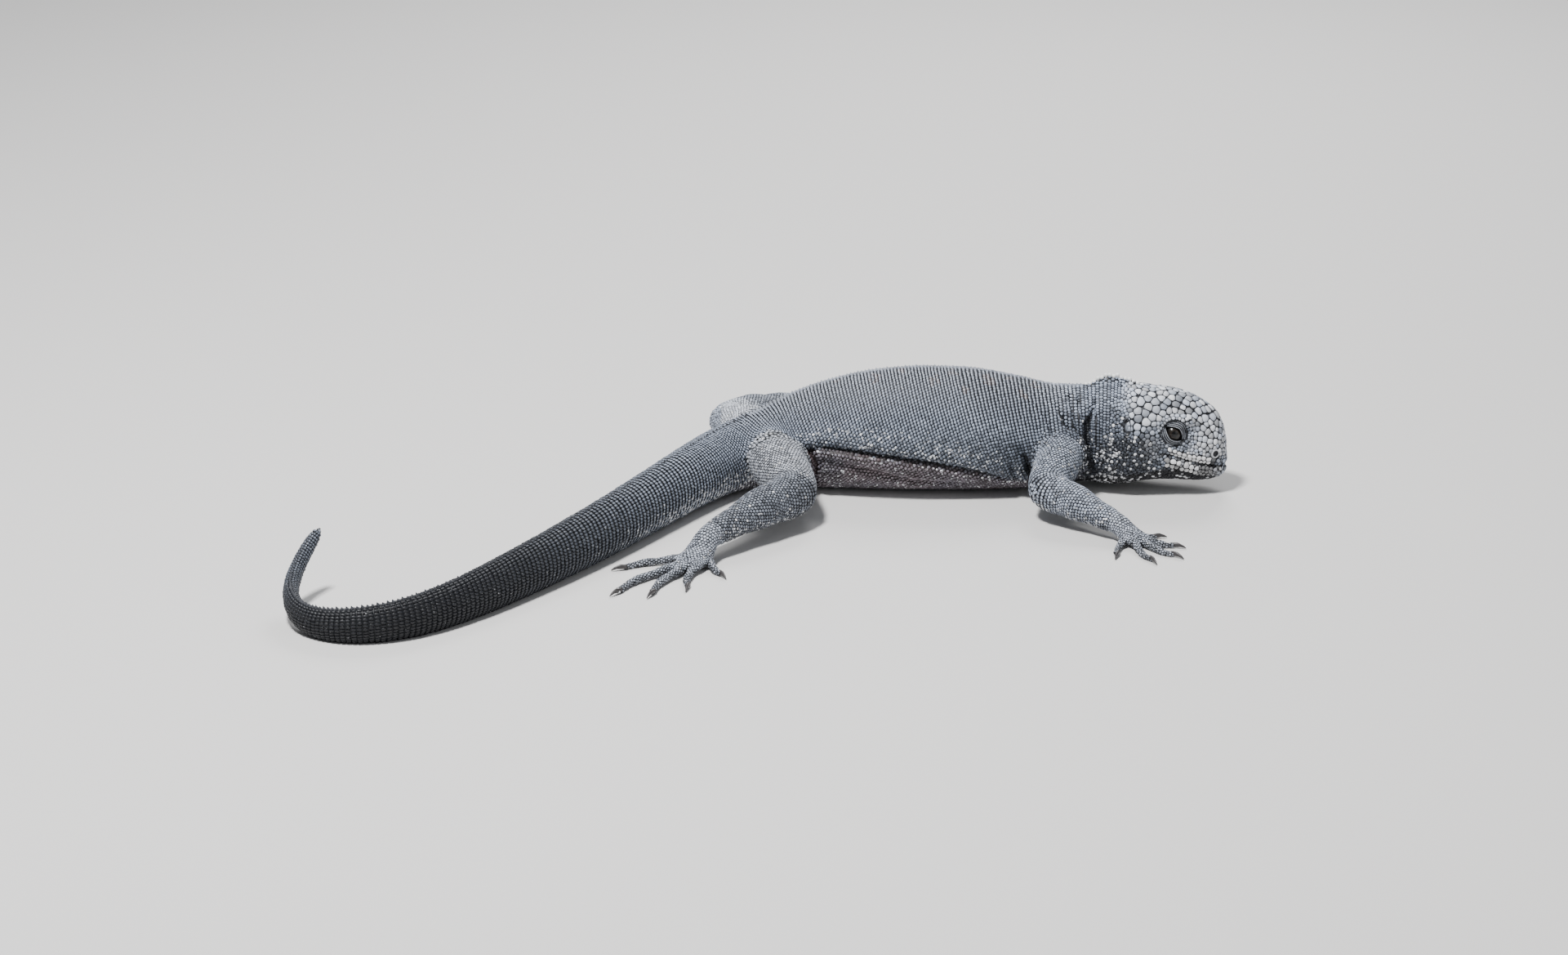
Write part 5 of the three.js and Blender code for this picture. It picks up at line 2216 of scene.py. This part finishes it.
    def add_eyes(self) -> None:
        """Make the eyes."""
        look = self.materials.eye()
        tilts = np.concatenate([np.linspace(0.02, 1.2, 18), np.linspace(1.3, 3.1, 12)])
        turns = circle(40)
        for name, side in SIDES.items():
            centre, out, along, over = self.line.feature(EYE, side)
            rings, gaze = [], []
            for tilt in tilts:
                bulge = EYE.radius - 0.12 + 0.12 * math.exp(-((tilt / 0.5) ** 2))
                ring = np.outer(np.cos(turns), along) + np.outer(np.sin(turns), over)
                rings.append(centre + (ring * math.sin(tilt) + out * math.cos(tilt)) * bulge)
                gaze.append(min(1.0, tilt / 0.85))
            made = Surface()
            made.add_rings(np.array(rings))
            shares = np.concatenate([np.repeat(gaze, len(turns)), [0.0, 1.0]])
            eye = self.keep(f"eyeball_{name}", made, look, "eye", gaze=shares)
            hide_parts(f"eye_{name}")

    def add_lids(self, tree: BVHTree) -> None:
        """Make the lids, with fine beaded rows round an almond opening.

        Args:
            tree: the skin, in build-frame millimetres.
        """
        for name, side in SIDES.items():
            centre, out, along, _ = self.line.feature(EYE, side)
            over = unit(np.array([0.0, 0.0, 1.0]) - out * out[2])
            fore = unit(np.cross(over, out))
            if fore @ along > 0:
                fore = -fore
            tilt = math.radians(-LIDS.tilt)
            wide = fore * math.cos(tilt) + over * math.sin(tilt)
            tall = over * math.cos(tilt) - fore * math.sin(tilt)
            made = Surface()
            rings, tones, rise = self.lid_rings(tree, centre, np.stack([wide, tall, out]))
            made.add_rings(rings, closed=False)
            self.keep(f"lids_{name}", made, tones=tones, rise=rise)

    def add_hollows(self, title: str, spot, plan: tuple, sides: int, last: float, bead: float = 0.0) -> None:
        """Make an ear's sunken drum in a recess painted with shade, or a nostril's pale ring round an inside
        painted dark as shade, on both sides.

        Args:
            title: the pieces' name.
            spot: the ear or nostril.
            plan: its rings.
            sides: points round each ring.
            last: brightness share of its markings.
            bead: height of the beads round its rim.
        """
        turns = circle(sides)
        _, _, dark, pale, rise = (np.repeat(column, sides) for column in zip(*plan))
        tones = np.stack([dark, 0 * dark, pale, last + 0 * dark], axis=1)
        for name, side in SIDES.items():
            centre, out, along, over = self.line.feature(spot, side)
            around = np.outer(np.cos(turns) * spot.wide, along) + np.outer(np.sin(turns) * spot.tall, over)
            rings = []
            for reach, lift, *_ in plan:
                beads = bead * np.cos(turns * 9) * (lift > 0)
                rings.append(centre + around * (reach + beads)[:, None] + out * lift)
            made = Surface()
            made.add_rings(np.array(rings), closed=False)
            self.keep(f"{title}_{name}", made, tones=tones, rise=rise)

    @staticmethod
    def lid_rings(tree: BVHTree, centre, axes) -> tuple[np.ndarray, np.ndarray, np.ndarray]:
        """Lay the lids' surface in rings from the opening out to the skin.

        Args:
            tree: the skin, in build-frame millimetres.
            centre: the eye's middle.
            axes: rows are the almond's long, short and outward directions.

        Returns:
            The points, the markings with painted shade at the opening, and the height share of each, which
            paints shade in the creases.
        """
        wide, tall, out = axes
        turns = circle(LIDS.sides)
        power = LIDS.pointed
        opening = (np.abs(np.cos(turns)) / LIDS.long) ** power
        opening = (opening + (np.abs(np.sin(turns)) / LIDS.short) ** power) ** (-1 / power)
        around = np.outer(np.cos(turns), wide) + np.outer(np.sin(turns), tall)
        rim = centre + around * LIDS.reach
        skin_lift = np.zeros(LIDS.sides)
        for i, point in enumerate(rim):
            hit, _, _, _ = tree.ray_cast(Vector(point + out * 8), Vector(-out), 16)
            skin_lift[i] = 0.0 if hit is None else (np.array(hit) - centre) @ out
        rings, tones, rise = [], [], []
        for row in range(LIDS.rows):
            share = row / (LIDS.rows - 1)
            reach = opening * (1 - share) + LIDS.reach * share
            beads = 0.5 - 0.5 * np.cos(2 * np.pi * share * LIDS.folds)
            number = math.floor(share * LIDS.folds)
            count = 40 + 9 * number
            grains = 0.5 + 0.5 * np.cos(turns * count + number * 2.1)
            beaded = 0.0 if number == 0 else LIDS.beaded
            bump = beads**0.7 * (1 - beaded + beaded * grains) * ramp(0.02, 0.1, share)
            ball = EYE.radius + 0.08 + LIDS.thick * ramp(0, 0.12, share)
            ball_lift = np.sqrt(np.maximum(ball**2 - reach**2, 0.0))
            blend = ramp(0.35, 1.0, share)
            soft = np.logaddexp(ball_lift * LIDS.blend, (skin_lift - 0.1) * LIDS.blend)
            soft = soft / LIDS.blend - 0.2
            lift = soft * (1 - blend) + (skin_lift - 0.25 * share) * blend
            lift = np.where(share < 0.1, ball_lift, lift)
            lift = lift + (0.34 - 0.1 * share) * bump
            rings.append(centre + around * reach[:, None] + out * lift[:, None])
            pale = 0.34 + 0.12 * grains - 0.12 * share + 0 * turns
            shade = np.full(LIDS.sides, 0.9 * ramp(0.09, 0.02, share) + 0.18)
            tones.append(np.stack([shade, np.zeros(LIDS.sides), pale, 0.35 + 0.4 * grains], axis=1))
            # Painted shade: the height share follows the beads, darkening the creases between folds and
            # beads and the corner creases beyond the opening.
            corner = np.exp(-((np.sin(turns) * reach / 0.42) ** 2)) * ramp(0.75, 0.3, share)
            rise.append(np.clip((0.05 + 0.95 * bump) * (1 - corner), 0, 1))
        return np.array(rings), np.array(tones), np.array(rise)


def set_stage(place: Placer, materials: Materials) -> None:
    """Add the floor, lights and camera.

    Args:
        place: gives the shift of the build frame.
        materials: makes the floor's material.
    """
    size = 3.0
    mesh = bpy.data.meshes.new("floor")
    corners = [(-size, -size, 0), (size, -size, 0), (size, size, 0), (-size, size, 0)]
    mesh.from_pydata(corners, [], [(0, 1, 2, 3)])
    floor = link("floor", mesh)
    mesh.materials.append(materials.plain("floor_look", (0.62, 0.61, 0.6), 0.85))
    world = bpy.data.worlds.new("studio")
    world.use_nodes = True
    sky = world.node_tree.nodes["Background"]
    materials.feed(world.node_tree, sky, {"Color": (0.9, 0.94, 1.0), "Strength": 0.3})
    bpy.context.scene.world = world
    for name, spot, energy, width in (
        ("key", (-0.25, -0.3, 1.0), 22.0, 0.16),
        ("fill", (0.9, -0.7, 0.5), 2.0, 0.8),
        ("rim", (0.2, 0.8, 0.7), 8.0, 0.4),
    ):
        light = bpy.data.lights.new(name, "AREA")
        light.energy = energy
        light.size = width
        lamp = link(name, light)
        lamp.location = spot
        lamp.rotation_euler = (Vector((0, 0, 0.02)) - Vector(spot)).to_track_quat("-Z", "Y").to_euler()
    add_camera(place)


def add_camera(place: Placer) -> None:
    """Add the camera at the photograph's viewing angle.

    Args:
        place: gives the shift of the build frame.
    """
    elevation = math.radians(20)
    pixel = 0.00028
    lens, sensor, width = 85.0, 36.0, 1920
    across, raised = -12, 20.5
    camera = bpy.data.cameras.new("camera")
    camera.lens = lens
    camera.sensor_width = sensor
    camera.clip_start = 0.01
    made = link("camera", camera)
    back = Vector((0, -math.cos(elevation), math.sin(elevation)))
    up = Vector((0, math.sin(elevation), math.cos(elevation)))
    target = Vector((place.shift[0] * MM, (place.shift[1] + across) * MM, 0)) + up * (raised * pixel)
    made.location = target + back * (width * pixel / sensor * lens)
    made.rotation_euler = (math.radians(90) - elevation, 0, 0)
    bpy.context.scene.camera = made


def main() -> None:
    """Load the frame, set the stage and dress the animal."""
    logging.basicConfig(level=logging.INFO)
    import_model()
    iguana = Iguana()
    set_stage(iguana.place, iguana.materials)
    iguana.build()


if __name__ == "__main__":
    main()
